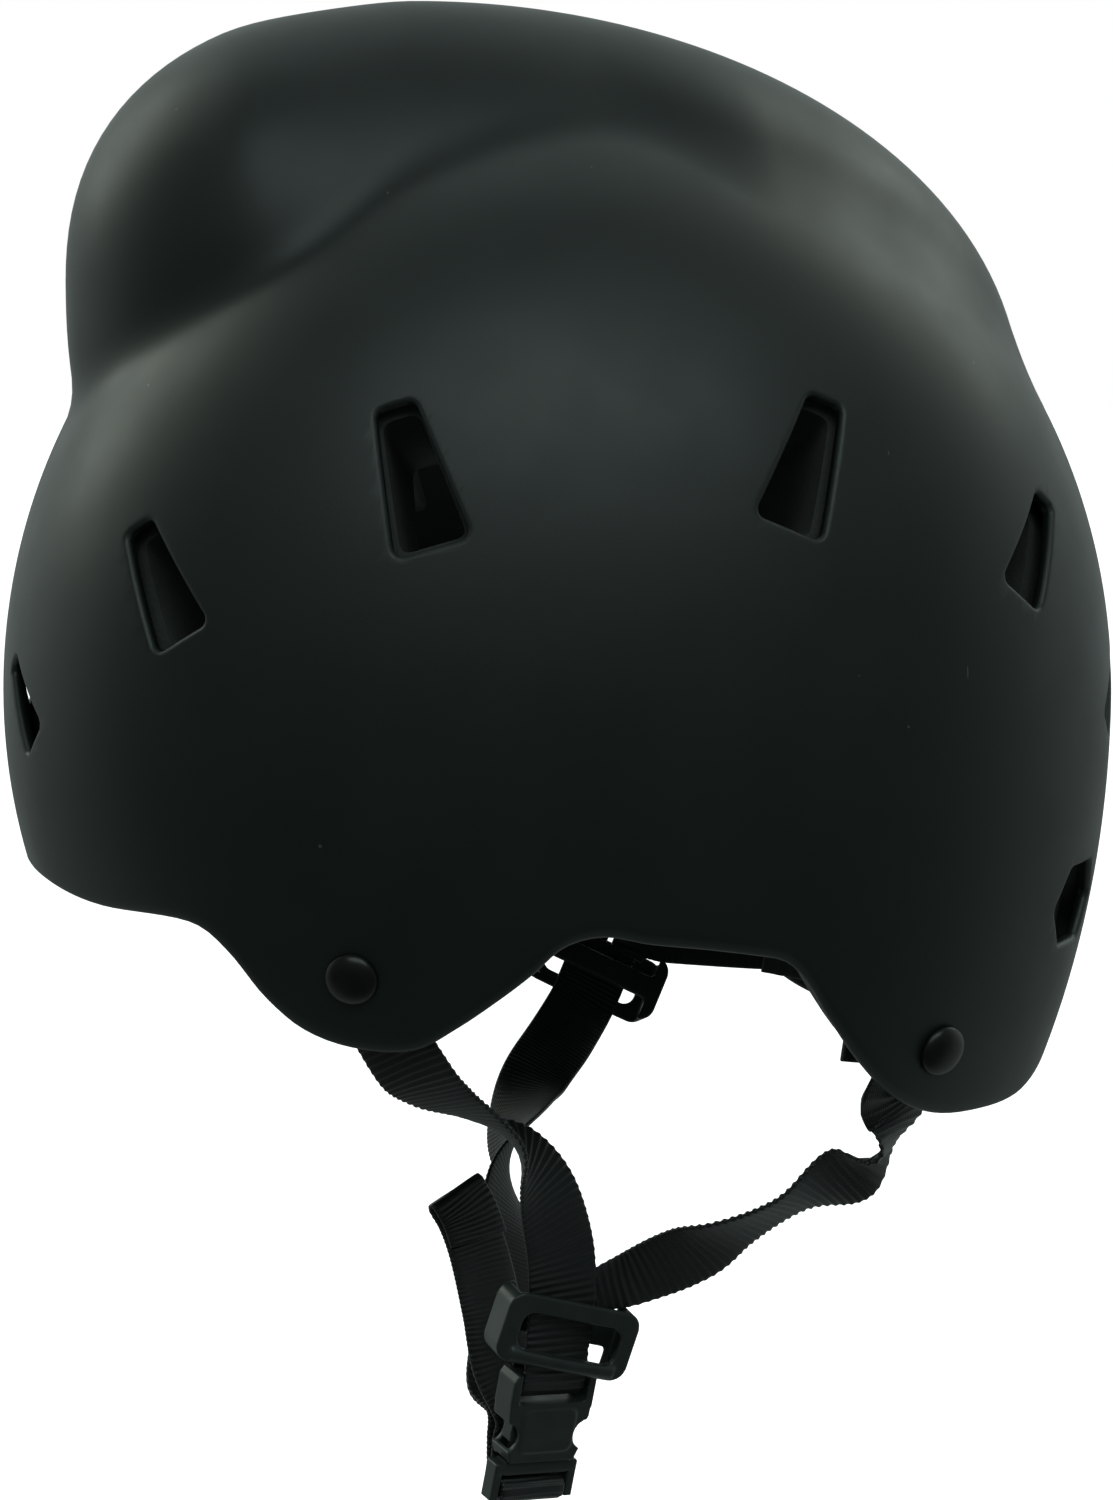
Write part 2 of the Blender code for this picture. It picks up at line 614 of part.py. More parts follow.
def straps():
    left, right = left_slider_frame(), right_slider_frame()
    pieces = [
        ribbon("left_front_strap", strap_start("left_front") + LEFT_FRONT_FREE + in_buckle(BUCKLE_LOOP)),
        ribbon("left_rear_strap",
               strap_start("left_rear") + LEFT_REAR_FREE + through(left, LEFT_REAR_IN_SLIDER, (-.7, 0, -.7))),
        ribbon("right_front_strap",
               strap_start("right_front") + through(right, RIGHT_FRONT_IN_SLIDER, (.7, 0, .7))),
        ribbon("right_rear_strap", strap_start("right_rear")
               + through(right, [(-x, y, z, w) for x, y, z, w in RIGHT_FRONT_IN_SLIDER], (.7, 0, -.7))),
    ]
    holes = hole_cutters("strap_holes", RIVET_SHANK + 0.0005, 0.002, 0.012)
    for strap in pieces:
        cut(strap, holes)
    top = through(right, [(0, 1.1, 7.0), (0, 1.1, 1.0), (0, 1.0, -6.0)], (1, 0, 0))
    ribbon("chin_strap", top + CHIN_FREE + in_buckle(PLUG_LOOP) + TAIL_FREE)


# ---- sliders ----
def slider(name, matrix):
    """A strap divider: a ring with a bar behind, so both straps pass between its front bars and that bar."""
    long, high, deep = 38.0 * MM, 19.0 * MM, 10.0 * MM
    end, side, corner, window = long / 2, high / 2, .0035, (long / 2 - .0035, .006)
    outline = [(-end, side - .003), (-end + .003, side), (end - corner, side), (end, side - corner),
               (end, -side + corner), (end - corner, -side), (-end + .003, -side), (-end, -side + .003)]
    body = block_from_outline(name, outline, -deep / 2, deep / 2, matrix)
    body.data.materials.append(buckle_plastic())
    cut(body, box_cutter(name + "_passage", (end - .0026, .0032, high), (-.0003, .0003, 0), matrix))
    cut(body, box_cutter(name + "_front_gap", (*window, side - .0032), (-.0002, .0090, 0), matrix))
    cut(body, box_cutter(name + "_rear_high", (*window, .0036), (-.0002, -.0085, .0067), matrix))
    cut(body, box_cutter(name + "_rear_low", (*window, .0036), (-.0002, -.0085, -.0067), matrix))
    return body


def block_from_outline(name, outline, low, high, matrix, collection=None):
    """A plate with an outline in its frame's X and Z, thick along its Y."""
    points = [(x, low, z) for x, z in outline] + [(x, high, z) for x, z in outline]
    n = len(outline)
    faces = [tuple(range(n)), tuple(reversed(range(n, 2 * n)))]
    faces += [(i, (i + 1) % n, n + (i + 1) % n, n + i) for i in range(n)]
    return put(name, mesh_from(name, points, faces), None, collection, matrix)


def box_cutter(name, half, middle, matrix):
    bpy.ops.mesh.primitive_cube_add(size=2)
    made = bpy.context.object
    made.name = name
    mesh = made.data
    mesh.transform(Matrix.Translation(middle) @ Matrix.Diagonal((*half, 1)))
    for group in list(made.users_collection):
        group.objects.unlink(made)
    CUTTERS.objects.link(made)
    made.matrix_world = matrix
    return as_cutter(made)


def box_piece(name, half, middle, matrix, finish):
    made = box_cutter(name, half, middle, matrix)
    CUTTERS.objects.unlink(made)
    MODEL.objects.link(made)
    made.hide_render = False
    made.display_type = "TEXTURED"
    made.data.materials.append(finish)
    return made


def round_cutter(name, radius, half, middle, matrix, axis="Y", sides=20):
    bpy.ops.mesh.primitive_cylinder_add(vertices=sides, radius=radius, depth=2 * half)
    made = bpy.context.object
    made.name = name
    turn = Matrix.Rotation(math.pi / 2, 4, "X" if axis == "Y" else "Y")
    made.data.transform(Matrix.Translation(middle) @ turn)
    for group in list(made.users_collection):
        group.objects.unlink(made)
    CUTTERS.objects.link(made)
    made.matrix_world = matrix
    return as_cutter(made)


def left_slider_frame():
    across = Vector((.27, -.92, .28)).normalized()
    out = Vector((.94, .27, -.14))
    out = (out - across * out.dot(across)).normalized()
    return frame_matrix((47.3 * MM, -4.4 * MM, -229.6 * MM), across, out, across.cross(out))


def right_slider_frame():
    up = Vector((-.33, .42, .84)).normalized()
    out = Vector((-1, 0, 0))
    out = (out - up * out.dot(up)).normalized()
    return frame_matrix([c * MM for c in RIGHT_SLIDER_CENTRE], out.cross(up), out, up)


# ---- buckle ----
BODY_WIDTH, BODY_DEEP = 0.0250, 0.0084
BODY_TOP, BODY_FOOT = 0.0170, -0.0075
SOCKET_HALF = 0.0098


def buckle_frame():
    up = Vector((.13, .16, .978)).normalized()
    out = Vector((.906, .42, 0))
    out = (out - up * out.dot(up)).normalized()
    return frame_matrix((43.0 * MM, -10.0 * MM, -256.5 * MM), out.cross(up), out, up)


def buckle_body():
    place = buckle_frame()
    half, deep = BODY_WIDTH / 2, BODY_DEEP / 2
    outline = [(-half + .0012, BODY_TOP), (half - .0012, BODY_TOP), (half, BODY_TOP - .002),
               (half, BODY_TOP - .008), (half - .0013, BODY_FOOT + .004), (half - .0028, BODY_FOOT),
               (-half + .0028, BODY_FOOT), (-half + .0013, BODY_FOOT + .004), (-half, BODY_TOP - .008),
               (-half, BODY_TOP - .002)]
    body = block_from_outline("buckle_body", outline, -deep, deep, place)
    body.data.materials.append(buckle_plastic())
    cut(body, box_cutter("buckle_socket", (SOCKET_HALF, .0027, .0090), (0, 0, BODY_FOOT + .0055), place))
    cut(body, box_cutter("buckle_web_slot_low", (.0102, .0055, .0023), (0, 0, BODY_TOP - .0060), place))
    cut(body, box_cutter("buckle_bar_front", (.0102, .0030, .0042), (0, .0047, BODY_TOP + .0002), place))
    cut(body, box_cutter("buckle_bar_back", (.0102, .0030, .0042), (0, -.0047, BODY_TOP + .0002), place))
    for side in (1, -1):
        cut(body, round_cutter("buckle_window_%d" % side, .0042, .0060, (side * .0125, 0, -.0005), place))
    return body


def buckle_plug():
    place = buckle_frame()
    base = box_piece("buckle_plug", (.0094, .0024, .0019), (0, 0, BODY_FOOT - .0024), place, buckle_plastic())
    join(base, box_cutter("plug_tongue", (.0022, .0012, .0065), (0, 0, BODY_FOOT + .0030), place))
    join(base, box_cutter("plug_side_left", (.0012, .0024, .0050), (.0112, 0, BODY_FOOT - .0062), place))
    join(base, box_cutter("plug_side_right", (.0012, .0024, .0050), (-.0112, 0, BODY_FOOT - .0062), place))
    join(base, box_cutter("plug_shoulder", (.0122, .0024, .0012), (0, 0, BODY_FOOT - .0022), place))
    join(base, round_cutter("plug_bar", .0013, .0122, (0, 0, BODY_FOOT - .0092), place, "X", 12))


PRONG = [(.0052, .0003), (.0072, .0003), (.0078, .0045), (.0094, .0052), (.0094, .0100), (.0072, .0118), (.0060, .0100)]


def plug_prongs():
    place = buckle_frame()
    for side, name in ((1, "plug_prong_front"), (-1, "plug_prong_rear")):
        outline = [(side * x, BODY_FOOT + z) for x, z in PRONG]
        prong = block_from_outline(name, outline, -.0022, .0022, place)
        prong.data.materials.append(buckle_plastic())


# ---- nape fit system ----
DIAL_Y, DIAL_Z = 0.100, -0.162
RACK_RISE = 0.0045
HOUSING = (0.023, 0.0058, 0.0125)
RACK_END = 0.010


def dial_pocket():
    middle = (0, DIAL_Y + .020, DIAL_Z + .006)
    return box_cutter("dial_pocket", (.031, .024, .024), middle, Matrix.Identity(4))


def dial_housing():
    place = Matrix.Translation((0, DIAL_Y, DIAL_Z))
    wide, deep, high = HOUSING
    outline = [(-wide, high - .005), (-wide + .005, high), (wide - .005, high), (wide, high - .005),
               (wide, -high + .005), (wide - .005, -high), (-wide + .005, -high), (-wide, -high + .005)]
    body = block_from_outline("dial_housing", outline, -deep, deep, place)
    body.data.materials.append(buckle_plastic())
    for rise in (RACK_RISE + .0006, -RACK_RISE - .0006):
        cut(body, box_cutter("rack_slot_%d" % (rise > 0), (.030, .0017, .0031), (0, 0, rise), place))
    cut(body, round_cutter("dial_bore", .0026, .010, (0, .005, 0), place))
    return body


def dial_knob():
    turn = Matrix.Translation((0, DIAL_Y, DIAL_Z)) @ Matrix.Rotation(-math.pi / 2, 4, "X")
    profile = [(0, .0150), (.0090, .0150), (.0112, .0138), (.0120, .0115), (.0120, .0064), (.0021, .0064),
               (.0021, -.0012), (0, -.0012)]
    return turned("dial_knob", profile, buckle_plastic(), turn, 24)


def fit_bands():
    for side, name in ((1, "left_band"), (-1, "right_band")):
        rise = RACK_RISE + .0006 if side > 0 else -RACK_RISE - .0006
        z, high = DIAL_Z / MM + rise / MM, 5.0 / 11.0
        knots = [(-RACK_END / MM, DIAL_Y / MM, z, 0, 0, 1, high), (12, DIAL_Y / MM, z, 0, 0, 1, high),
                 (30.5, DIAL_Y / MM - .2, z, 0, 0, 1, high), (38, 97.4, DIAL_Z / MM + 2, 0, 0, 1, 1.0),
                 (47.6, 90.6, DIAL_Z / MM + 4, 0, 0, 1, 1.0), (56.5, 80, DIAL_Z / MM + 7, 0, 0, 1, 1.0),
                 (61.5, 66, DIAL_Z / MM + 9.5, 0, 0, 1, 1.0)]
        if side < 0:
            knots = mirrored(knots)
        ribbon(name, knots, 3, 0.011, 0.0018, buckle_plastic())


def build():
    clear_scene()
    outer_shell()
    foam_liner()
    crown_pad()
    wall_pad("front_pad", 0, 34, -0.030, 0.006, 0.008)
    wall_pad("rear_pad", 180, 30, -0.022, 0.018, 0.008)
    wall_pad("left_side_pad", 90, 24, -0.018, 0.020, 0.007)
    wall_pad("right_side_pad", -90, 24, -0.018, 0.020, 0.007)
    rivets_and_washers()
    straps()
    slider("left_slider", left_slider_frame())
    slider("right_slider", right_slider_frame())
    buckle_body()
    buckle_plug()
    plug_prongs()
    dial_housing()
    dial_knob()
    fit_bands()


build()
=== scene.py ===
"""Looks of a water-sports helmet: moulded shell, foam liner, padded fit, ribbed webbing, buckle and nape dial.

Metres, +Z up, the wearer faces -Y, the wearer's left is +X, the origin is the head's seat under the crown pad.
"""
import math

import bmesh
import bpy
import numpy as np
from mathutils import Matrix, Vector


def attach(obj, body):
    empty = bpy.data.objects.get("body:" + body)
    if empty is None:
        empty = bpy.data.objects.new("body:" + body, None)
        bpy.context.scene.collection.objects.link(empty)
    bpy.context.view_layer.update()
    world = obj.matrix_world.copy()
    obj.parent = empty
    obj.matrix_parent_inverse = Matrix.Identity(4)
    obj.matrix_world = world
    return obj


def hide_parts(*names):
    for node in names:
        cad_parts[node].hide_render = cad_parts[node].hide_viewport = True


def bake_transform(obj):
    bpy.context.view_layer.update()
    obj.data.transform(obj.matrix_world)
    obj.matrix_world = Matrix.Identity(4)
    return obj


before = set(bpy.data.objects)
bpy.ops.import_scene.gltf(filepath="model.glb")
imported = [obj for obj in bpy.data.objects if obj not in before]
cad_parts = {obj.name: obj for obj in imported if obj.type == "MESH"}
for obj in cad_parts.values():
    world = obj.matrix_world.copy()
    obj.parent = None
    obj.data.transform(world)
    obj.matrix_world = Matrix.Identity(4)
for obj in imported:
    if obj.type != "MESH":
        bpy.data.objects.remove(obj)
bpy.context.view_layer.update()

MM = 0.001
ROOT = "helmet"
CORNERS = ((-1, -1), (1, -1), (1, 1), (-1, 1))

# ---- the shell's shape, as in the part ----
LEVEL_Z = -0.070
HALF_WIDTH, HALF_LENGTH = 0.112, 0.144
DOME_TOP, DOME_TOP_TILT = 0.152, 0.001
SKIRT, SKIRT_TILT = 0.176, 0.028
PLAN_POWER = 2.5
CREST_MIDDLE_Y, CREST_TOP = -0.036, 0.1785
CREST_FRONT, CREST_BACK = 0.0905, 0.158
CREST_HALF_WIDTH_FRONT, CREST_HALF_WIDTH_BACK = 0.060, 0.078
CREST_ROOT_BACK, CREST_ROOT_FRONT = 0.075, 0.105
CREST_UNDER = 0.095
CREST_SHARE = 0.62
CREASE_SOFTNESS = 0.035
SHELL_WALL = 0.003
LINER_GAP = 0.0039
LINER_EDGE_RISE = 0.005
FOAM_AT_LEVEL, FOAM_AT_EDGE = 0.026, 0.013
CAVITY_TOP = 0.084
PAD_GAP = 0.0016
EDGE = [(0, -0.041), (12, -0.0415), (25, -0.0445), (36, -0.0448), (40, -0.047), (43, -0.0535),
        (46, -0.0635), (50, -0.0715), (56, -0.0757), (64, -0.0757), (70, -0.0695), (76, -0.0615),
        (80, -0.0555), (84, -0.0487), (89, -0.0462), (95, -0.0483), (102, -0.0500), (109, -0.0522),
        (113, -0.0542), (116, -0.0595), (120, -0.0705), (125, -0.0822), (131, -0.0925), (138, -0.0986),
        (146, -0.1006), (157, -0.1000), (164, -0.0955), (170, -0.0880), (180, -0.0850)]
VENTS = [(14.0, 0.004, 44, 0.68), (35.5, 0.038, 32, 0.86), (64.5, 0.065, 17, 1.0),
         (117.3, 0.067, -24, 0.94), (147.8, 0.0435, -38, 0.80), (165.5, 0.003, -40, 0.60)]
VENT_HEIGHT, VENT_TOP_WIDTH, VENT_FOOT_WIDTH = 0.0365, 0.0105, 0.0188
VENT_ROUND = 0.0026
REAR_VENT = (157.5, -0.0500, 0.0150, 0.0105)
RIVETS = {"front": (57.4, -0.0570), "rear": (136.3, -0.0812)}
RIVET_RADIUS = 0.0067
STRAP_ENDS = {
    "left_front": [(56.6, -0.0455), (57.4, -0.0570), (59.0, -0.0660), (60.2, -0.0735)],
    "left_rear": [(136.8, -0.0700), (136.3, -0.0812), (134.8, -0.0885), (133.2, -0.0945)],
    "right_front": [(52.0, -0.0530), (57.4, -0.0570), (63.5, -0.0615), (70.0, -0.0665)],
    "right_rear": [(142.0, -0.0800), (136.3, -0.0812), (131.0, -0.0832)],
}
STRAP_DEPTH = 0.0054
WEB_WIDTH, WEB_THICK = 0.019, 0.0012

# ---- the camera and the light ----
VIEW_FROM = Vector((0.9829, -0.1207, 0.1392))
VIEW_AT = Vector((0, 0, -0.0857))
VIEW_DISTANCE = 1.25
VIEW_LENS = 114.3
FLOOR_Z = -0.62
FLOOR_REACH = 9
# place, width, height, power and colour of each soft light; all are aimed at the origin
LIGHTS = {
    "key_above": ((1.5, 0.0, 1.25), 2.1, 1.1, 11, "ECFFFA"),
    "back_left": ((-0.9, -1.3, 0.9), 0.9, 1.2, 6, "F6FFEE"),
    "back_right": ((-0.8, 1.4, 1.2), 0.9, 1.2, 5.5, "F6FFEE"),
}


def set_camera():
    data = bpy.data.cameras.new("camera")
    data.lens = VIEW_LENS
    data.sensor_width = 36
    camera = bpy.data.objects.new("camera", data)
    camera.location = VIEW_AT + VIEW_FROM * VIEW_DISTANCE
    camera.rotation_euler = (-VIEW_FROM).to_track_quat("-Z", "Y").to_euler()
    bpy.context.scene.collection.objects.link(camera)
    bpy.context.scene.camera = camera


# ---- small tools ----
def linear(code):
    """An sRGB hex colour as linear red, green, blue and alpha."""
    parts = [int(code[i:i + 2], 16) / 255 for i in (0, 2, 4)]
    return tuple(c / 12.92 if c <= 0.04045 else ((c + 0.055) / 1.055) ** 2.4 for c in parts) + (1.0,)


def add(tree, kind, inputs=None, **settings):
    """Adds a node, with its settings, and its inputs given as values or as sockets to link."""
    made = tree.nodes.new(kind)
    for key, value in settings.items():
        setattr(made, key, value)
    feed(tree, made, inputs or {})
    return made


def feed(tree, node, inputs):
    """Sets a node's inputs, or links those that are given as sockets."""
    for key, value in inputs.items():
        if isinstance(value, bpy.types.NodeSocket):
            tree.links.new(value, node.inputs[key])
        else:
            node.inputs[key].default_value = value


def put(name, mesh, finish=None):
    """A new object at the origin, with its place in its mesh."""
    item = bpy.data.objects.new(name, mesh)
    bpy.context.scene.collection.objects.link(item)
    if finish:
        mesh.materials.clear()
        mesh.materials.append(finish)
    return item


def mesh_from(name, points, faces, smooth=True):
    mesh = bpy.data.meshes.new(name)
    mesh.from_pydata([tuple(map(float, p)) for p in points], [], [tuple(map(int, f)) for f in faces])
    mesh.validate()
    outward(mesh)
    if smooth:
        mesh.shade_smooth()
    return mesh


def outward(mesh):
    work = bmesh.new()
    work.from_mesh(mesh)
    bmesh.ops.recalc_face_normals(work, faces=work.faces)
    work.to_mesh(mesh)
    work.free()


def weld(mesh, sharp):
    """Joins points that fall together, and shades smooth where faces meet at less than an angle in degrees."""
    work = bmesh.new()
    work.from_mesh(mesh)
    bmesh.ops.remove_doubles(work, verts=work.verts, dist=0.000002)
    bmesh.ops.recalc_face_normals(work, faces=work.faces)
    work.to_mesh(mesh)
    work.free()
    mesh.shade_smooth()
    mesh.set_sharp_from_angle(angle=math.radians(sharp))


def tube_faces(n, lengths):
    """Faces between rings of n points, each ring following the one before."""
    return [(n * i + k, n * i + (k + 1) % n, n * (i + 1) + (k + 1) % n, n * (i + 1) + k)
            for i in range(lengths) for k in range(n)]


def turned_faces(n, steps, base=0):
    """Faces between profiles of n points, set all round an axis."""
    pairs = [(base + k * n, base + (k + 1) % steps * n) for k in range(steps)]
    return [(here + i, here + i + 1, there + i + 1, there + i) for here, there in pairs for i in range(n - 1)]


def settle(item):
    """Turns an object's modifiers into plain mesh, and removes them."""
    graph = bpy.context.evaluated_depsgraph_get()
    mesh = bpy.data.meshes.new_from_object(item.evaluated_get(graph))
    item.modifiers.clear()
    old, item.data = item.data, mesh
    bpy.data.meshes.remove(old)
    return item


def belongs(item, body, slot, *nodes):
    """Says which body a piece rides on and the CAD nodes that it stands for; its material slot is not used."""
    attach(item, body)
    if nodes:
        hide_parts(*nodes)
    return item


def frame_matrix(origin, x_axis, y_axis, z_axis):
    made = Matrix.Identity(4)
    for column, axis in enumerate((x_axis, y_axis, z_axis)):
        for row in range(3):
            made[row][column] = float(axis[row])
    made.translation = Vector([float(c) for c in origin])
    return made


# ---- finishes ----
def start_material(name):
    made = bpy.data.materials.new(name)
    made.use_nodes = True
    return made, made.node_tree


def complete(made, inputs, bump=None):
    """Sets or links the inputs of a material's shader; bump is a height with its strength and its distance."""
    tree = made.node_tree
    if bump:
        raised = add(tree, "ShaderNodeBump", dict(zip(("Height", "Strength", "Distance"), bump)))
        inputs = {**inputs, "Normal": raised.outputs[0]}
    feed(tree, tree.nodes["Principled BSDF"], inputs)
    return made


def on_object(tree):
    return add(tree, "ShaderNodeTexCoord").outputs["Object"]


def noise(tree, place, scale, detail):
    return add(tree, "ShaderNodeTexNoise", {"Vector": place, "Scale": scale, "Detail": detail}).outputs["Fac"]


def cells(tree, place, scale, randomness=1.0):
    return add(tree, "ShaderNodeTexVoronoi", {"Vector": place, "Scale": scale, "Randomness": randomness})


def maths(tree, operation, *values):
    return add(tree, "ShaderNodeMath", dict(enumerate(values)), operation=operation).outputs[0]


def tones(tree, share, low, high):
    """A mix of two colours, each an sRGB hex code or a socket."""
    low, high = (linear(end) if isinstance(end, str) else end for end in (low, high))
    return add(tree, "ShaderNodeMix", {"Factor": share, "A": low, "B": high}, data_type="RGBA").outputs[2]


def ranged(tree, value, start, end, low, high, **settings):
    """A value's stretch from start to end, spread from low to high."""
    inputs = {"Value": value, "From Min": start, "From Max": end, "To Min": low, "To Max": high}
    return add(tree, "ShaderNodeMapRange", inputs, **settings).outputs[0]


def marks(tree, pattern, size, channel, least):
    """1 within a size of the middle of each cell whose random colour has enough of one channel."""
    near = maths(tree, "LESS_THAN", pattern.outputs["Distance"], size)
    chance = add(tree, "ShaderNodeSeparateColor", {0: pattern.outputs["Color"]}).outputs[channel]
    return maths(tree, "MULTIPLY", near, maths(tree, "GREATER_THAN", chance, least))


def moulded_shell_abs():
    """ABS, injection moulded with a fine spark texture: a matte near-black with a soft wide gloss."""
    made, tree = start_material("moulded_shell_abs")
    place = on_object(tree)
    plain = tones(tree, noise(tree, place, 14.0, 3.0), "161D1C", "1D2624")
    # specks of lint and dust, at most a millimetre across, in some of the cells of a 17 mm grid
    speck = marks(tree, cells(tree, place, 58.0), 0.026, 0, 0.62)
    # hairline scuffs, at most five millimetres long, left by handling
    stretched = add(tree, "ShaderNodeMapping", {"Vector": place, "Rotation": (0.5, 0.2, 0.4),
                                                "Scale": (95.0, 95.0, 9.0)}).outputs[0]
    hair = marks(tree, cells(tree, stretched, 1.0), 0.022, 1, 0.66)
    dust = maths(tree, "MULTIPLY", maths(tree, "MAXIMUM", speck, hair), 0.22)
    dusty = tones(tree, dust, plain, "9C9C8E")
    # the lips of the vents and the lower rim are a little paler, within about a millimetre of the edge
    lip = add(tree, "ShaderNodeAttribute", attribute_name="from_edge").outputs["Fac"]
    dust_and_pale_lips = tones(tree, ranged(tree, lip, 0.0, 0.0011, 0.30, 0.0), dusty, "4A504E")
    rough = ranged(tree, noise(tree, place, 40.0, 4.0), 0.25, 0.75, 0.40, 0.50)
    return complete(made, {"Base Color": dust_and_pale_lips, "Roughness": rough, "IOR": 1.5},
                    (noise(tree, place, 1900.0, 2.0), 0.10, 0.0002))


def cut_eva_foam():
    """EVA foam, skinned and die-cut: dull dark grey, with cells about a millimetre wide, paler on cut edges."""
    made, tree = start_material("cut_eva_foam")
    place = on_object(tree)
    skin = tones(tree, noise(tree, place, 60.0, 4.0), "2E302F", "4A4D4B")
    edge = add(tree, "ShaderNodeAttribute", attribute_name="cut_edge").outputs["Fac"]
    return complete(made, {"Base Color": tones(tree, edge, skin, "6E716E"), "Roughness": 0.88},
                    (cells(tree, place, 900.0).outputs["Distance"], 0.35, 0.0004))


def brushed_knit():
    """Nylon knit, brushed to a short loop pile over foam: soft black with a pale sheen at grazing angles."""
    made, tree = start_material("brushed_knit")
    place = on_object(tree)
    nap = tones(tree, noise(tree, place, 120.0, 5.0), "1B1D1E", "303334")
    return complete(made, {"Base Color": nap, "Roughness": 0.95, "Sheen Weight": 0.5, "Sheen Roughness": 0.4},
                    (cells(tree, place, 1100.0, 0.6).outputs["Distance"], 0.5, 0.0005))


def woven_polyester():
    """Polyester webbing, woven in ribs: black yarn with a dry gloss that glints along the top of each rib."""
    made, tree = start_material("woven_polyester")
    along = add(tree, "ShaderNodeUVMap", uv_map="webbing").outputs[0]
    split = add(tree, "ShaderNodeSeparateXYZ", {0: along})
    # warp yarns every 0.62 mm across the webbing, crossed by picks every 0.95 mm along it
    waves = [maths(tree, "SINE", maths(tree, "MULTIPLY", split.outputs[k], 2 * math.pi / apart))
             for k, apart in enumerate((0.00062, 0.00095))]
    fuzz = noise(tree, along, 700.0, 4.0)
    height = maths(tree, "ADD", maths(tree, "MULTIPLY", *waves), fuzz)
    return complete(made, {"Base Color": tones(tree, fuzz, "0A0C0C", "181C1D"), "Roughness": 0.34,
                           "Sheen Weight": 0.10}, (height, 0.5, 0.00012))


def moulded_acetal(name, low, high, rough_low, rough_high):
    """Acetal, injection moulded from a lightly etched tool: satin, a little oily, and slightly uneven."""
    made, tree = start_material(name)
    place = on_object(tree)
    cloud = noise(tree, place, 160.0, 4.0)
    rough = ranged(tree, cloud, 0.3, 0.7, rough_low, rough_high)
    return complete(made, {"Base Color": tones(tree, cloud, low, high), "Roughness": rough, "IOR": 1.48},
                    (noise(tree, place, 3200.0, 1.0), 0.12, 0.0001))


def sewing_thread():
    """Bonded nylon thread, twisted: dark grey, with a fine slant from its plies."""
    made, tree = start_material("sewing_thread")
    plies = add(tree, "ShaderNodeTexWave", {"Vector": on_object(tree), "Scale": 900.0, "Distortion": 1.0},
                bands_direction="DIAGONAL").outputs["Fac"]
    return complete(made, {"Base Color": tones(tree, plies, "1C1E1E", "343838"), "Roughness": 0.6},
                    (plies, 0.4, 0.0001))


def painted_floor():
    """Studio floor, rolled with matt emulsion: almost white, with a faint roller stipple."""
    made, tree = start_material("painted_floor")
    stipple = tones(tree, noise(tree, on_object(tree), 30.0, 3.0), "F7F7F7", "FCFCFC")
    return complete(made, {"Base Color": stipple, "Roughness": 0.9, "Emission Color": linear("FFFFFF"),
                           "Emission Strength": 0.95})


# ---- the shell's outer surface, as in the part ----
def smooth_step(t):
    t = np.clip(t, 0.0, 1.0)
    return t * t * (3 - 2 * t)


def dome_field(x, y, z):
    around = y / (np.hypot(x, y) + 1e-9)
    height = np.where(z > 0, DOME_TOP + DOME_TOP_TILT * around, SKIRT + SKIRT_TILT * around)
    size = (np.abs(x) / HALF_WIDTH) ** PLAN_POWER + (y / HALF_LENGTH) ** 2 + (z / height) ** 2
    return 1 - np.sqrt(size)


def crest_field(x, y, z):
    ahead = y - CREST_MIDDLE_Y
    forward = smooth_step(-ahead / 0.050)
    root = CREST_ROOT_BACK + (CREST_ROOT_FRONT - CREST_ROOT_BACK) * forward
    power = 2 + 0.35 * forward
    reach = np.where(ahead < 0, CREST_FRONT, CREST_BACK)
    rise = np.where(z > root, CREST_TOP - root, CREST_UNDER)
    widen = smooth_step((y - 0.005) / 0.045)
    width = CREST_HALF_WIDTH_FRONT + (CREST_HALF_WIDTH_BACK - CREST_HALF_WIDTH_FRONT) * widen
    size = (x / width) ** 2 + (np.abs(ahead) / reach) ** power + (np.abs(z - root) / rise) ** power
    return CREST_SHARE * (1 - np.sqrt(size))


def shell_field(points):
    """Positive inside the helmet's outer surface, for points measured from the widest level."""
    x, y, z = points[..., 0], points[..., 1], points[..., 2]
    dome, crest = dome_field(x, y, z), crest_field(x, y, z)
    mix = np.clip(0.5 + 0.5 * (dome - crest) / CREASE_SOFTNESS, 0, 1)
    return crest * (1 - mix) + dome * mix + CREASE_SOFTNESS * mix * (1 - mix)


HUB = np.array([0.0, 0.0, 0.020])
RAISE = np.array([0.0, 0.0, LEVEL_Z])
TILTS = np.radians(np.linspace(-55, 88, 240))


def surface(angle, tilt):
    """Surface points in the directions given by angle from the front and tilt above level, in radians."""
    angle, tilt = np.broadcast_arrays(angle, tilt)
    ray = np.stack([np.sin(angle) * np.cos(tilt), -np.cos(angle) * np.cos(tilt), np.sin(tilt)], -1)
    near, far = np.full(angle.shape, 0.02), np.full(angle.shape, 0.32)
    for _ in range(30):
        middle = (near + far) / 2
        inside = shell_field(HUB + ray * middle[..., None]) > 0
        near, far = np.where(inside, middle, near), np.where(inside, far, middle)
    return HUB + ray * ((near + far) / 2)[..., None]


def onto_surface(points):
    away = points - HUB
    level = np.hypot(away[:, 0], away[:, 1])
    return surface(np.arctan2(away[:, 0], -away[:, 1]), np.arctan2(away[:, 2], level))


def normal_at(points):
    step = 0.0003
    slope = np.stack([shell_field(points + axis) - shell_field(points - axis) for axis in np.eye(3) * step], -1)
    return -slope / np.linalg.norm(slope, axis=-1, keepdims=True)


def tilts_for(angles, heights):
    """The tilt at which the surface has each height above the widest level, at each angle."""
    columns = surface(np.asarray(angles)[:, None], TILTS[None, :])
    return np.array([np.interp(h, column[:, 2], TILTS) for h, column in zip(heights, columns)])


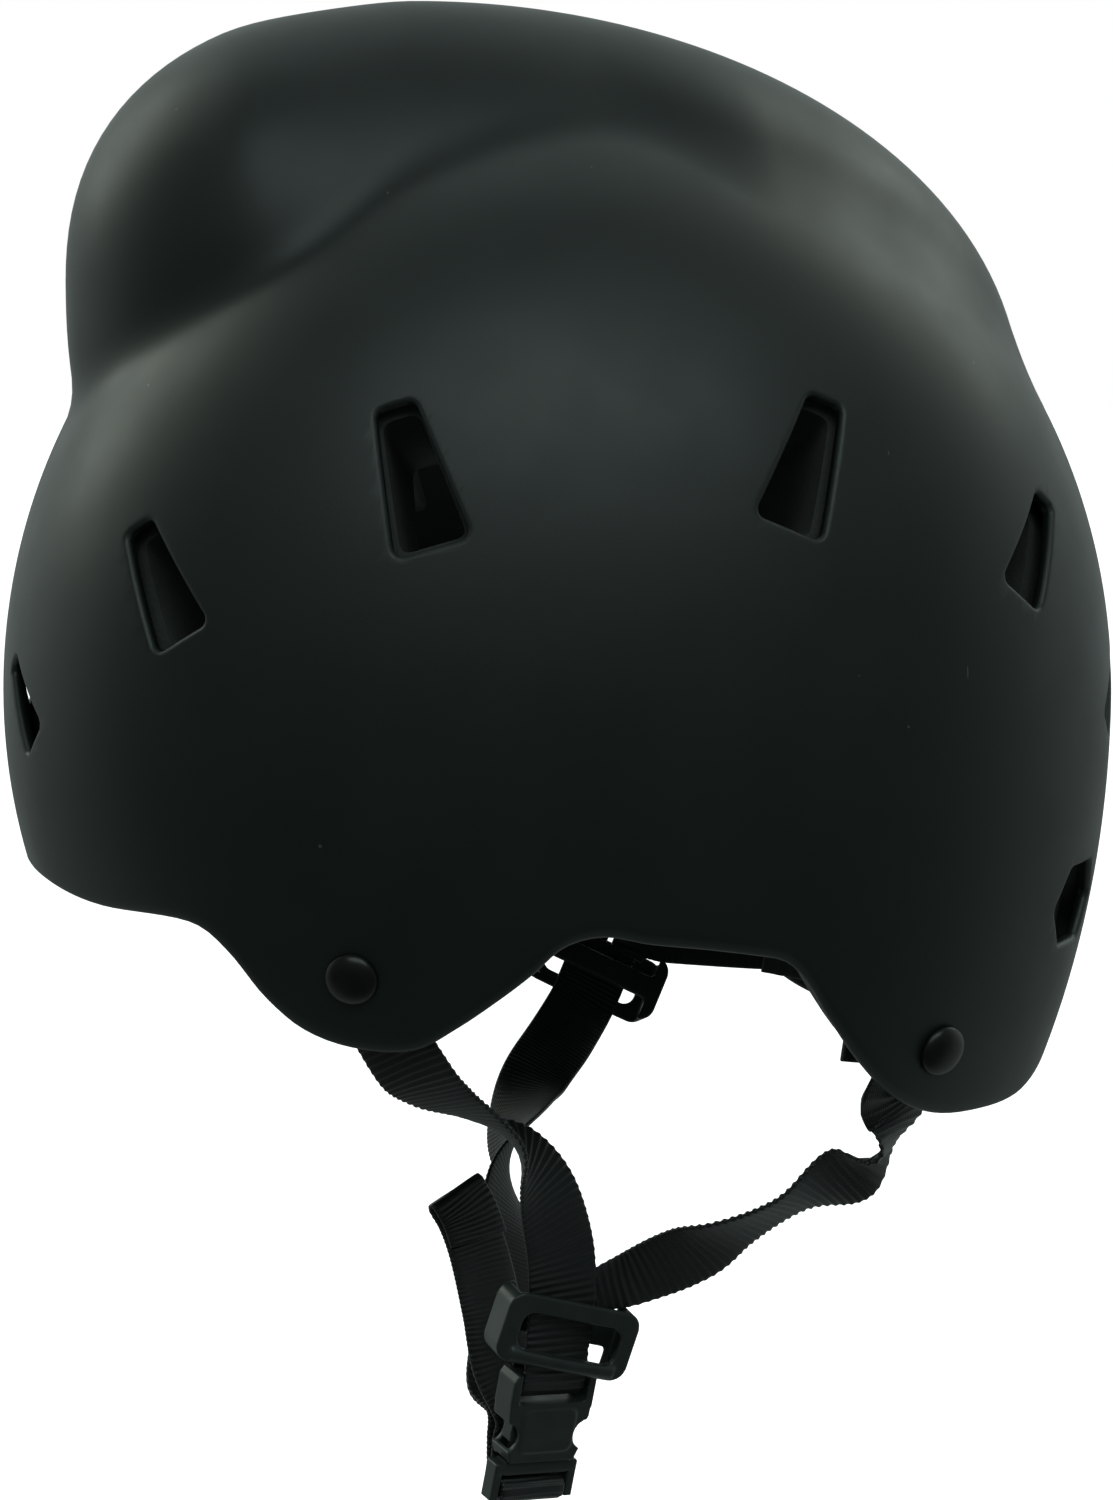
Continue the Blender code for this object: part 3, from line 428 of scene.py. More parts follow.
def edge_height(angle):
    """Height of the shell's lower edge, a smooth curve through EDGE, the same on both sides."""
    degrees = abs((math.degrees(angle) + 180) % 360 - 180)
    known = [(-a, h) for a, h in EDGE[2:0:-1]] + EDGE + [(360 - a, h) for a, h in EDGE[-2:-4:-1]]
    k = max(i for i in range(1, len(known) - 2) if known[i][0] <= degrees)
    (a0, h0), (a1, h1), (a2, h2), (a3, h3) = known[k - 1:k + 3]
    t = (degrees - a1) / (a2 - a1)
    start, end = (h2 - h0) / (a2 - a0) * (a2 - a1), (h3 - h1) / (a3 - a1) * (a2 - a1)
    return (h1 * (2 * t**3 - 3 * t**2 + 1) + h2 * (3 * t**2 - 2 * t**3)
            + start * (t**3 - 2 * t**2 + t) + end * (t**3 - t**2))


def frame_on_shell(degrees, height, side=1):
    """A point on the shell with its outward, sideways (away from the front) and upward directions."""
    angle = math.radians(degrees)
    point = surface(np.array(angle), tilts_for([angle], [height])[0])
    out = normal_at(point)
    across = np.cross([0, 0, 1], out)
    across /= np.linalg.norm(across)
    up = np.cross(out, across)
    flip = np.array([side, 1, 1])
    return point * flip + RAISE, out * flip, across * flip, up * flip


def column_angles(count):
    """Angles around the shell, closer together where the lower edge is steep."""
    fine = np.radians(np.linspace(0, 360, 1441))
    heights = np.array([edge_height(a) for a in fine])
    weight = 1 + 8 * np.abs(np.gradient(heights, fine))
    weight = np.convolve(np.concatenate([weight[-9:-1], weight, weight[1:9]]), np.ones(17) / 17, "valid")
    run = np.concatenate([[0], np.cumsum((weight[1:] + weight[:-1]) / 2)])
    return np.interp(np.arange(count) / count * run[-1], run, fine)


# ---- vents ----
def vent_places():
    """Each vent's point, outward, sideways and upward directions, and its corners, counter-clockwise."""
    for side in (1, -1):
        for degrees, height, lean, size in VENTS:
            point, out, across, up = frame_on_shell(degrees, height, side)
            turn = math.radians(lean)
            axis = -math.sin(turn) * across + math.cos(turn) * up
            span = math.cos(turn) * across + math.sin(turn) * up
            high, top, foot = (whole / 2 * size for whole in (VENT_HEIGHT, VENT_TOP_WIDTH, VENT_FOOT_WIDTH))
            corners = np.array([(-foot, -high), (foot, -high), (top, high), (-top, high)])
            yield point, out, span, axis, corners, size
        degrees, height, wide, high = REAR_VENT
        point, out, across, up = frame_on_shell(degrees, height, side)
        hexagon = [(-wide, 0), (-wide * .55, -high), (wide * .55, -high),
                   (wide, 0), (wide * .55, high), (-wide * .55, high)]
        yield point, out, across, up, np.array(hexagon), 0.75


def outline_distance(flat, corners, rounding):
    """Distance from flat points to a convex outline with rounded corners, positive outside it."""
    centre = corners.mean(axis=0)
    pulled = corners - np.sign(corners - centre) * rounding * np.array([1.0, 0.0 if len(corners) == 6 else 1.0])
    if len(corners) == 6:
        pulled = centre + (corners - centre) * (1 - rounding * 1.1 / np.abs(corners[:, 1]).max())
    inside, best = np.ones(len(flat), bool), np.full(len(flat), np.inf)
    for a, b in zip(pulled, np.roll(pulled, -1, axis=0)):
        side, to = b - a, flat - a
        t = np.clip((to @ side) / (side @ side), 0, 1)
        best = np.minimum(best, np.linalg.norm(to - t[:, None] * side, axis=1))
        inside &= side[0] * to[:, 1] - side[1] * to[:, 0] >= 0
    return np.where(inside, -best, best) - rounding


def vent_distance(points, places):
    """Distance from points on the shell to the nearest vent's outline, positive on solid shell."""
    best = np.full(len(points), 0.05)
    for point, out, span, axis, corners, size in places:
        near = np.linalg.norm(points + RAISE - point, axis=1) < 0.045
        away = points[near] + RAISE - point
        flat = np.stack([away @ span, away @ axis], -1)
        best[near] = np.minimum(best[near], outline_distance(flat, corners, VENT_ROUND * size))
    return best


def refine(points, triangles, wanted):
    """Splits each edge whose ends are both wanted, and the triangles on it, with new points on the surface."""
    new, index = [], {}

    def middle(a, b):
        key = (min(a, b), max(a, b))
        if key not in index:
            index[key] = len(points) + len(new)
            new.append((points[a] + points[b]) / 2)
        return index[key]

    made = []
    for a, b, c in triangles:
        marked = [wanted[a] and wanted[b], wanted[b] and wanted[c], wanted[c] and wanted[a]]
        if sum(marked) == 3:
            ab, bc, ca = middle(a, b), middle(b, c), middle(c, a)
            made += [(a, ab, ca), (ab, b, bc), (ca, bc, c), (ab, bc, ca)]
        elif sum(marked) == 1:
            k = marked.index(True)
            p, q, r = (a, b, c)[k], (b, c, a)[k], (c, a, b)[k]
            m = middle(p, q)
            made += [(p, m, r), (m, q, r)]
        else:
            made.append((a, b, c))
    return np.vstack([points, onto_surface(np.array(new))]), made


def split_at(points, values, triangles, level, measure):
    """Cuts the triangles that cross a level of values, so that the level runs along edges."""
    values = np.where(np.abs(values - level) < 0.00004, level, values)
    new, index = [], {}

    def crossing(a, b):
        key = (min(a, b), max(a, b))
        if key not in index:
            a, b = key
            index[key] = len(points) + len(new)
            new.append((a, b))
        return index[key]

    made = []
    side = np.sign(values - level)
    for triangle in triangles:
        signs = [side[i] for i in triangle]
        if 1 not in signs or -1 not in signs:
            made.append(triangle)
            continue
        if 0 in signs:
            k = signs.index(0)
            a, b, c = (triangle[(k + i) % 3] for i in range(3))
            m = crossing(b, c)
            made += [(a, b, m), (a, m, c)]
            continue
        k = next(i for i in range(3) if signs[i] != signs[(i + 1) % 3] and signs[i] != signs[(i + 2) % 3])
        a, b, c = (triangle[(k + i) % 3] for i in range(3))
        ab, ca = crossing(a, b), crossing(c, a)
        made += [(a, ab, ca), (ab, b, c), (ab, c, ca)]
    if not new:
        return points, values, made
    pairs = np.array(new)
    start, end = points[pairs[:, 0]], points[pairs[:, 1]]
    low, high = values[pairs[:, 0]], values[pairs[:, 1]]
    low_t, high_t = np.zeros(len(pairs)), np.ones(len(pairs))
    for _ in range(6):
        t = np.clip(low_t + (level - low) / (high - low) * (high_t - low_t), low_t + 0.02 * (high_t - low_t),
                    high_t - 0.02 * (high_t - low_t))
        found = measure(start + (end - start) * t[:, None])
        under = (found > level) == (high > level)
        high, high_t = np.where(under, found, high), np.where(under, t, high_t)
        low, low_t = np.where(under, low, found), np.where(under, low_t, t)
    points = np.vstack([points, start + (end - start) * t[:, None]])
    return points, np.concatenate([values, np.full(len(t), level)]), made


SHELL_COLUMNS, SHELL_ROWS, SHELL_ROW_STEP = 264, 84, 0.0029
RIM_STEPS = 5
LIP = 0.0013


def shell(finish):
    """The moulded shell: one closed skin with rounded vent lips and a rounded lower rim."""
    places = list(vent_places())
    angles = column_angles(SHELL_COLUMNS)
    low = tilts_for(angles, [edge_height(a) + SHELL_WALL * 0.4 for a in angles])
    share = np.arange(SHELL_ROWS) / SHELL_ROWS
    tilts = low[:, None] + (math.pi / 2 - low[:, None]) * share
    top = surface(np.array([0.0]), np.array([math.pi / 2]))
    points = np.vstack([surface(angles[:, None], tilts).reshape(-1, 3), top])
    triangles = []
    for c in range(SHELL_COLUMNS):
        a0, b0 = c * SHELL_ROWS, (c + 1) % SHELL_COLUMNS * SHELL_ROWS
        for r in range(SHELL_ROWS - 1):
            a, b = a0 + r, b0 + r
            triangles += [(a, b, b + 1), (a, b + 1, a + 1)]
        triangles.append((a0 + SHELL_ROWS - 1, b0 + SHELL_ROWS - 1, len(points) - 1))
    base = len(points)

    def measure(where):
        return vent_distance(where, places)

    values = measure(points)
    points, triangles = refine(points, triangles, (values < 0.0042) & (values > -0.0035))
    values = measure(points)
    for level in (LIP, LIP * 0.60, LIP * 0.27, LIP * 0.07, 0.0):
        points, values, triangles = split_at(points, values, triangles, level, measure)
    corners = np.array(triangles)
    corners = corners[values[corners].mean(axis=1) > 1e-7]
    normals = normal_at(points)
    near = np.clip(values, 0, LIP)
    depth = LIP - np.sqrt(np.maximum(LIP**2 - (LIP - near) ** 2, 0))
    outer = points - normals * depth[:, None]
    inner = points - normals * SHELL_WALL
    count = len(points)
    faces = [tuple(t) for t in corners] + [(a + count, c + count, b + count) for a, b, c in corners]
    rim_from = 2 * count
    foot = np.arange(SHELL_COLUMNS) * SHELL_ROWS
    edge, out = points[foot], normals[foot]
    down = edge - points[foot + 1]
    down /= np.linalg.norm(down, axis=1, keepdims=True)
    rings = []
    for k in range(1, RIM_STEPS):
        turn = math.pi * k / RIM_STEPS
        in_by, down_by = SHELL_WALL / 2 * (1 - math.cos(turn)), SHELL_WALL / 2 * math.sin(turn)
        rings.append(edge - out * in_by + down * down_by)
    whole = np.vstack([outer, inner, *rings]) + RAISE

    def chain(c):
        rim = [rim_from + k * SHELL_COLUMNS + c for k in range(RIM_STEPS - 1)]
        return [c * SHELL_ROWS, *rim, count + c * SHELL_ROWS]

    for c in range(SHELL_COLUMNS):
        here, there = chain(c), chain((c + 1) % SHELL_COLUMNS)
        faces += [(here[k], here[k + 1], there[k + 1], there[k]) for k in range(RIM_STEPS)]
    edges = {}
    for a, b, c in corners:
        for p, q in ((a, b), (b, c), (c, a)):
            edges[(min(p, q), max(p, q))] = edges.get((min(p, q), max(p, q)), 0) + 1
    faces += [(p, q, q + count, p + count) for (p, q), used in edges.items()
              if used == 1 and values[p] < 1e-6 and values[q] < 1e-6]
    used = np.zeros(len(whole), bool)
    used[np.concatenate([np.array(f) for f in faces])] = True
    renumber = np.cumsum(used) - 1
    mesh = mesh_from("shell", whole[used], [tuple(renumber[i] for i in f) for f in faces])
    rows = np.tile(np.arange(SHELL_ROWS), SHELL_COLUMNS) * SHELL_ROW_STEP
    rows = np.concatenate([rows, [1.0], np.ones(count - base)])
    from_edge = np.minimum(np.maximum(values, 0), rows)
    from_edge = np.concatenate([from_edge, np.full(count, 0.02), np.zeros(len(rings) * SHELL_COLUMNS)])[used]
    mesh.attributes.new("from_edge", "FLOAT", "POINT").data.foreach_set("value", from_edge.astype(np.float32))
    return belongs(put("shell", mesh, finish), ROOT, "shell", "outer_shell")


# ---- foam liner ----
def prism(points, out, ring, outside, inside, shrink=1.0):
    """A block with the given outline from outside to inside a surface point, narrower at its inner end."""
    centre = sum(np.array(p) for p in ring) / len(ring)
    inner = [centre + (np.array(p) - centre) * shrink for p in ring]
    base, n = len(points), len(ring)
    points += [p + out * outside for p in ring] + [p - out * inside for p in inner]
    faces = [tuple(base + i for i in range(n)), tuple(base + n + i for i in reversed(range(n)))]
    faces += [(base + i, base + n + i, base + n + (i + 1) % n, base + (i + 1) % n) for i in range(n)]
    return faces


def rounded_corners(corners, radius, steps=4):
    """A convex outline with its corners rounded."""
    made = []
    for before, here, after in zip(np.roll(corners, 1, axis=0), corners, np.roll(corners, -1, axis=0)):
        into, away = (before - here), (after - here)
        into, away = into / np.linalg.norm(into), away / np.linalg.norm(away)
        for i in range(steps + 1):
            t = i / steps
            made.append(here + into * radius * (1 - t) ** 2 + away * radius * t**2)
    return made


def vent_cutters(name, scale, outside, inside, shrink):
    points, faces = [], []
    for point, out, span, axis, corners, size in vent_places():
        ring = [point + span * u + axis * v for u, v in rounded_corners(corners * scale, 0.0030 * size)]
        faces += prism(points, out, ring, outside, inside, shrink)
    return put(name, mesh_from(name, points, faces, smooth=False))


def foam_face(points, down):
    """The liner's inner face under points on the shell; down is 0 at the widest level and 1 at the edge."""
    depth = SHELL_WALL + LINER_GAP + FOAM_AT_LEVEL + (FOAM_AT_EDGE - FOAM_AT_LEVEL) * smooth_step(down)
    return points - normal_at(points) * depth[:, None]


def foam_inner(angles, heights):
    """The liner's inner face: it follows the shell below the widest level, and closes as a dome above it."""
    level = np.minimum(heights, 0.0)
    down = level / np.array([edge_height(a) for a in angles])
    inner = foam_face(surface(angles, tilts_for(angles, level)), down)
    ease = np.where(heights > 0, np.sqrt(np.maximum(0.0, 1 - (heights / CAVITY_TOP) ** 2)), 1.0)
    z = np.where(heights > 0, heights, inner[:, 2])
    return np.stack([inner[:, 0] * ease, inner[:, 1] * ease, z], -1) + RAISE


LINER_COLUMNS, LINER_OUTER_ROWS = 144, 26
EDGE_BULGE = 0.0022


def liner(finish):
    angles = column_angles(LINER_COLUMNS)
    edge = np.array([edge_height(a) for a in angles]) + LINER_EDGE_RISE
    low = tilts_for(angles, edge)
    tilts = low[:, None] + (math.pi / 2 - low[:, None]) * (np.arange(LINER_OUTER_ROWS) / LINER_OUTER_ROWS)
    skin = surface(angles[:, None], tilts)
    skin = skin - normal_at(skin) * (SHELL_WALL + LINER_GAP) + RAISE
    inside = []
    for share in np.linspace(0, 1, 12):
        points = surface(angles, tilts_for(angles, edge * (1 - share)))
        inside.append(foam_face(points, edge * (1 - share) / (edge - LINER_EDGE_RISE)) + RAISE)
    for degrees in (6, 13, 20, 28, 36, 44, 52, 60, 68, 76, 83):
        inside.append(foam_inner(angles, np.full(len(angles), CAVITY_TOP * math.sin(math.radians(degrees)))))
    first, last = skin[:, 0], inside[0]
    down = skin[:, 0] - skin[:, 1]
    down /= np.linalg.norm(down, axis=1, keepdims=True)
    bottom = [first + (last - first) * t + down * EDGE_BULGE * math.sin(math.pi * t) ** 0.6
              for t in (.08, .22, .5, .78, .92)]
    columns = np.concatenate([skin[:, ::-1], np.stack(bottom, 1), np.stack(inside, 1)], axis=1)
    count = columns.shape[1]
    summit = surface(np.array(0.0), np.array(math.pi / 2)) - [0, 0, SHELL_WALL + LINER_GAP] + RAISE
    points = np.vstack([columns.reshape(-1, 3), summit, [0, 0, CAVITY_TOP + LEVEL_Z]])
    faces = []
    for c in range(LINER_COLUMNS):
        here, there = c * count, (c + 1) % LINER_COLUMNS * count
        faces += [(here + r, here + r + 1, there + r + 1, there + r) for r in range(count - 1)]
        faces.append((here, there, len(points) - 2))
        faces.append((there + count - 1, here + count - 1, len(points) - 1))
    item = put("liner", mesh_from("liner", points, faces), finish)
    edge_share = np.zeros(len(points), np.float32)
    rows = np.tile(np.arange(count), LINER_COLUMNS)
    edge_share[:len(rows)] = ((rows >= LINER_OUTER_ROWS) & (rows < LINER_OUTER_ROWS + 5)) * 1.0
    item.data.attributes.new("cut_edge", "FLOAT", "POINT").data.foreach_set("value", edge_share)
    cutters = [vent_cutters("liner_vents", 0.93, 0.004, 0.052, 0.8), strap_pockets(),
               block("dial_pocket", (.031, .024, .024), (0, DIAL_Y + .020, DIAL_Z + .006))]
    for cutter in cutters:
        cut_with(item, cutter)
    settle(item)
    item.data.shade_smooth()
    item.data.set_sharp_from_angle(angle=math.radians(38))
    for cutter in cutters:
        bpy.data.objects.remove(cutter)
    return belongs(item, ROOT, "foam", "foam_liner")


def cut_with(item, cutter):
    step = item.modifiers.new(cutter.name, "BOOLEAN")
    step.operation, step.solver, step.object = "DIFFERENCE", "EXACT", cutter


def block(name, half, middle):
    """A plain box to cut with."""
    x, y, z = half
    corners = [(i * x + middle[0], j * y + middle[1], k * z + middle[2])
               for k in (-1, 1) for j in (-1, 1) for i in (-1, 1)]
    faces = [(0, 2, 3, 1), (4, 5, 7, 6), (0, 1, 5, 4), (2, 6, 7, 3), (0, 4, 6, 2), (1, 3, 7, 5)]
    return put(name, mesh_from(name, corners, faces, smooth=False))


# ---- webbing ----
def strap_start(name, depth=STRAP_DEPTH):
    """Knots of a strap's fixed end, on the shell's inner side, lying on the shell's own curve."""
    side = 1 if name.startswith("left") else -1
    places, outs = [], []
    for degrees, height in STRAP_ENDS[name]:
        point, out, _, _ = frame_on_shell(degrees, height, side)
        places.append((point - out * depth) / MM)
        outs.append(out)
    knots = []
    for run, place, out in zip(np.gradient(np.array(places), axis=0), places, outs):
        across = np.cross(out, run)
        knots.append((*place, *(across / np.linalg.norm(across) * side)))
    return knots


# free stretches in millimetres: each knot's place, then the direction across the webbing
LEFT_FRONT_FREE = [
    (86.5, -45, -154, .35, .90, .25), (80, -38, -161, .62, .74, .25), (73, -28.5, -167.5, .90, .40, .15),
    (67, -20, -174, 1, -.10, .10), (62, -14, -182, .85, -.55, 0), (57.2, -9, -193, .55, -.83, 0),
    (52.6, -5.5, -207, .36, -.93, 0), (49.8, -4.6, -219, .33, -.94, 0), (48.2, -5.0, -228, .35, -.93, 0)]
LEFT_REAR_FREE = [
    (73.5, 77.5, -170, -.55, .80, .1), (71, 75, -179, -.95, .2, -.2), (66.5, 66.5, -186, -.45, -.35, -.80),
    (60.5, 52.5, -195, -.75, -.20, -.55), (54, 38, -204, -.72, -.05, -.65), (47.6, 27, -211, -.40, .25, -.86)]
CHIN_FREE = [
    (-80.0, 16.5, -170.0, -.1, .93, -.40), (-72.0, 10.0, -177.5, -.1, .95, -.3),
    (-60, 2, -184.5, .15, .95, -.3), (-47, -4, -191, .6, .75, .1),
    (-34, -8.5, -198, .9, .3, .3), (-20, -11.5, -207.5, .75, -.5, .45),
    (-8, -13, -218, .55, -.80, .25), (4, -14.5, -228.5, .5, -.84, .12), (15.5, -16, -239, .45, -.89, .05),
    (25.5, -18, -249.5, .44, -.89, 0)]
TAIL_FREE = [
    (33.4, -18.0, -242.0, .46, -.89, 0), (29.5, -20.5, -228.0, .50, -.86, 0),
    (26.0, -23.5, -214.0, .52, -.85, .05), (23.4, -26.5, -205.0, .50, -.86, .1),
    (22.4, -29.5, -199.5, .45, -.87, .2)]
# in a slider's own frame: across, out, up and the width scale
LEFT_REAR_IN_SLIDER = [
    (-15.5, -1.0, 17.5, .85), (-4.7, -1.6, 10.5, .58), (-3.0, -1.9, 6.0, .58), (-2.0, -2.05, 3.0, .58)]
RIGHT_FRONT_IN_SLIDER = [(-15.5, -0.6, 17.5, .85), (-6.6, -1.15, 11.0, .55), (-5.8, -1.25, 7.0, .55)]
RIGHT_REAR_IN_SLIDER = [(-x, y, z, scale) for x, y, z, scale in RIGHT_FRONT_IN_SLIDER]
CHIN_IN_SLIDER = [(0, 1.1, 7.0), (0, 1.1, 1.0), (0, 1.0, -6.0)]
# round a bar of the buckle, in its frame: out and up
BUCKLE_LOOP = [
    (1.7, 22.5), (2.7, 18.4), (2.9, 14.4), (2.1, 11.6), (0.0, 10.5), (-2.1, 11.6), (-2.9, 14.4), (-2.7, 18.4),
    (-2.0, 21.5)]
PLUG_LOOP = [
    (-10.8, 0.5), (-8.4, -6.0), (-6.3, -12.0), (-3.7, -16.8), (-1.2, -18.9), (0.6, -19.1), (2.5, -17.8),
    (2.6, -15.3), (0.6, -13.6), (-2.1, -13.1), (-4.7, -10.2), (-5.7, -5.5), (-7.0, 1.0)]


def fitting_frame(origin, z_axis, out):
    """A fitting's frame from its origin in millimetres: Z as given, Y as near to out as that allows."""
    up, out = Vector(z_axis).normalized(), Vector(out)
    out = (out - up * out.dot(up)).normalized()
    return frame_matrix([c * MM for c in origin], out.cross(up), out, up)


def left_slider_frame():
    across = Vector((.27, -.92, .28)).normalized()
    out = Vector((.94, .27, -.14))
    out = (out - across * out.dot(across)).normalized()
    return frame_matrix((47.3 * MM, -4.4 * MM, -229.6 * MM), across, out, across.cross(out))


def right_slider_frame():
    return fitting_frame((-84.2, 22.0, -160.0), (-.33, .42, .84), (-1, 0, 0))


def buckle_frame():
    return fitting_frame((43.0, -10.0, -256.5), (.13, .16, .978), (.906, .42, 0))


def through(place, knots, across):
    """Knots from (across, out, up, width scale) in a slider's or the buckle's own frame, in millimetres."""
    span = place.to_3x3() @ Vector(across)
    made = []
    for knot in knots:
        p = place @ (Vector(knot[:3]) * MM) / MM
        made.append((p.x, p.y, p.z, *span, *knot[3:]))
    return made


def in_buckle(loop):
    return through(buckle_frame(), [(0, n, u) for n, u in loop], (1, 0, 0))


def smooth_route(knots, steps):
    """Points on a smooth curve through knots, each a tuple of numbers, with even steps between knots."""
    known = np.array([k if len(k) == 7 else (*k, 1.0) for k in knots], float)
    padded = np.vstack([2 * known[0] - known[1], known, 2 * known[-1] - known[-2]])
    made = []
    for k in range(1, len(padded) - 2):
        p0, p1, p2, p3 = padded[k - 1:k + 3]
        for s in range(steps):
            t = s / steps
            made.append(0.5 * (2 * p1 + (p2 - p0) * t + (2 * p0 - 5 * p1 + 4 * p2 - p3) * t * t
                               + (3 * p1 - p0 - 3 * p2 + p3) * t**3))
    made.append(known[-1])
    return np.array(made)


def band_route(knots, step):
    """Even steps along a route: centres, directions across, facing directions, width scales and the run."""
    fine = smooth_route(knots, 24)
    place = fine[:, :3] * MM
    run = np.concatenate([[0], np.cumsum(np.linalg.norm(np.diff(place, axis=0), axis=1))])
    count = max(2, int(round(run[-1] / step)) + 1)
    even = np.linspace(0, run[-1], count)
    route = np.stack([np.interp(even, run, fine[:, k]) for k in range(7)], -1)
    centre, span, scale = route[:, :3] * MM, route[:, 3:6], route[:, 6]
    along = np.gradient(centre, axis=0)
    along /= np.linalg.norm(along, axis=1, keepdims=True)
    span = span - along * np.sum(span * along, axis=1, keepdims=True)
    span /= np.linalg.norm(span, axis=1, keepdims=True)
    return centre, span, np.cross(along, span), scale, even


def ribbon(name, knots, finish, rib, pitch, step, thick, width=WEB_WIDTH, hem=None):
    """A band along a route, in even steps: ribs of a height and pitch across it, rounded selvedges, and a hem
    of a length folded to one side with a radius."""
    centre, span, face, scale, even = band_route(knots, step)
    if hem:
        length, side, radius = hem
        turns = [math.pi * (k + 1) / 8 for k in range(8)]
        along = np.cross(span[-1], face[-1])
        over = [centre[-1] + along * radius * 1.3 * math.sin(t) + face[-1] * side * radius * (1 - math.cos(t))
                for t in turns]
        back = [k for k in range(len(even) - 2, 0, -1) if even[-1] - even[k] < length]
        over += [centre[k] + face[k] * side * radius * (2 - 0.55 * (even[-1] - even[k]) / length) for k in back]
        spans = [span[-1]] * 8 + [span[k] for k in back]
        faces_in = [face[-1] * math.cos(t) - along * side * math.sin(t) for t in turns]
        faces_in += [-face[k] for k in back]
        scales = [scale[-1]] * 8 + [scale[k] for k in back]
        centre, span, face = np.vstack([centre, over]), np.vstack([span, spans]), np.vstack([face, faces_in])
        scale = np.concatenate([scale, scales])
        even = np.concatenate([[0], np.cumsum(np.linalg.norm(np.diff(centre, axis=0), axis=1))])
    across = np.concatenate([[-1, -0.985], np.linspace(-0.93, 0.93, 9), [0.985, 1]])
    edge = np.concatenate([[0.0, 0.62], np.ones(9), [0.62, 0.0]])
    ring = [(a, e) for a, e in zip(across, edge)] + [(a, -e) for a, e in zip(across[-2:0:-1], edge[-2:0:-1])]
    u = np.array([a for a, _ in ring])
    v = np.array([b for _, b in ring])
    wave = even[:, None] + 0.00022 * np.sin(u[None, :] * 2.3 + even[:, None] * 190)
    ripple = rib * (0.5 + 0.5 * np.cos(2 * math.pi * wave / pitch)) ** 1.6
    lift = v[None, :] * (thick / 2 - rib * 0.5) + np.sign(v)[None, :] * ripple
    points = (centre[:, None] + span[:, None] * (u[None, :] * (width / 2 * scale)[:, None])[..., None]
              + face[:, None] * lift[..., None])
    n, last = len(ring), len(even) - 1
    faces = tube_faces(n, last) + [tuple(reversed(range(n))), tuple(n * last + k for k in range(n))]
    mesh = mesh_from(name, points.reshape(-1, 3), faces)
    layer = mesh.uv_layers.new(name="webbing")
    flat = np.stack([np.tile(u * width / 2, len(even)), np.repeat(even, n)], -1)
    index = np.zeros(len(mesh.loops), np.int32)
    mesh.loops.foreach_get("vertex_index", index)
    layer.data.foreach_set("uv", flat[index].astype(np.float32).ravel())
    item = put(name, mesh, finish)
    return item, (width, float(even[-1])), (centre, span, face, even)


# straps that a moving piece draws along: its body, where the pull begins, and where it is whole
DRAWN = {
    "chin_strap": ("plug", (0.0495, -0.0020, -0.2076), (0.0422, -0.0110, -0.2624)),
    "left_rear_strap": ("left_slider_body", (0.0665, 0.0665, -0.186), (0.046, 0.018, -0.215)),
    "right_front_strap": ("right_slider_body", (-0.093, -0.010, -0.142), (-0.090, 0.012, -0.139)),
    "right_rear_strap": ("right_slider_body", (-0.083, 0.072, -0.152), (-0.089, 0.046, -0.152)),
}


# rib height, rib pitch, step along the route and thickness: the chin strap's weave is finer
COARSE_WEB = (0.00046, 0.0021, 0.00042, 0.0013)
FINE_WEB = (0.00024, 0.0013, 0.00032, 0.0013)
CHIN_HEM = (0.013, 1, 0.0011)


def straps(finish):
    """The five straps; returns the route of each."""
    left, right = left_slider_frame(), right_slider_frame()
    made = {}
    routes = {
        "left_front_strap": strap_start("left_front") + LEFT_FRONT_FREE + in_buckle(BUCKLE_LOOP),
        "left_rear_strap": (strap_start("left_rear") + LEFT_REAR_FREE
                            + through(left, LEFT_REAR_IN_SLIDER, (-.7, 0, -.7))),
        "right_front_strap": strap_start("right_front") + through(right, RIGHT_FRONT_IN_SLIDER, (.7, 0, .7)),
        "right_rear_strap": strap_start("right_rear") + through(right, RIGHT_REAR_IN_SLIDER, (.7, 0, -.7)),
        "chin_strap": through(right, CHIN_IN_SLIDER, (1, 0, 0)) + CHIN_FREE + in_buckle(PLUG_LOOP) + TAIL_FREE,
    }
    for name, knots in routes.items():
        weave, hem = (FINE_WEB, CHIN_HEM) if name == "chin_strap" else (COARSE_WEB, None)
        item, flat, route = ribbon("web_" + name, knots, finish, *weave, hem=hem)
        if name in DRAWN:
            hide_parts(name)
            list(DRAWN[name])
            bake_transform(item)
        else:
            belongs(item, ROOT, "webbing", name)
        made[name] = route
    return made


POCKET_HALF_WIDTH, POCKET_HALF_DEPTH = 0.01175, 0.0036


def strap_pockets():
    """Room between shell and foam for each strap end and its rivet, open at the liner's edge."""
    whole = bmesh.new()
    for name in STRAP_ENDS:
        knots = strap_start(name, STRAP_DEPTH + 0.0006)
        first, last = np.array(knots[0]), np.array(knots[-1])
        before = first + (first - np.array(knots[1])) * 0.45
        after = last + (last - np.array(knots[-2])) * 3.0
        centre, span, face, _, _ = band_route([tuple(before), *knots, tuple(after)], 0.004)
        points = [c + w * a * POCKET_HALF_WIDTH + f * b * POCKET_HALF_DEPTH
                  for c, w, f in zip(centre, span, face) for a, b in CORNERS]
        n = len(centre) - 1
        faces = tube_faces(4, n) + [(3, 2, 1, 0), (4 * n, 4 * n + 1, 4 * n + 2, 4 * n + 3)]
        whole.from_mesh(mesh_from("pocket", points, faces, smooth=False))
    mesh = bpy.data.meshes.new("strap_pockets")
    whole.to_mesh(mesh)
    whole.free()
    return put("strap_pockets", mesh)


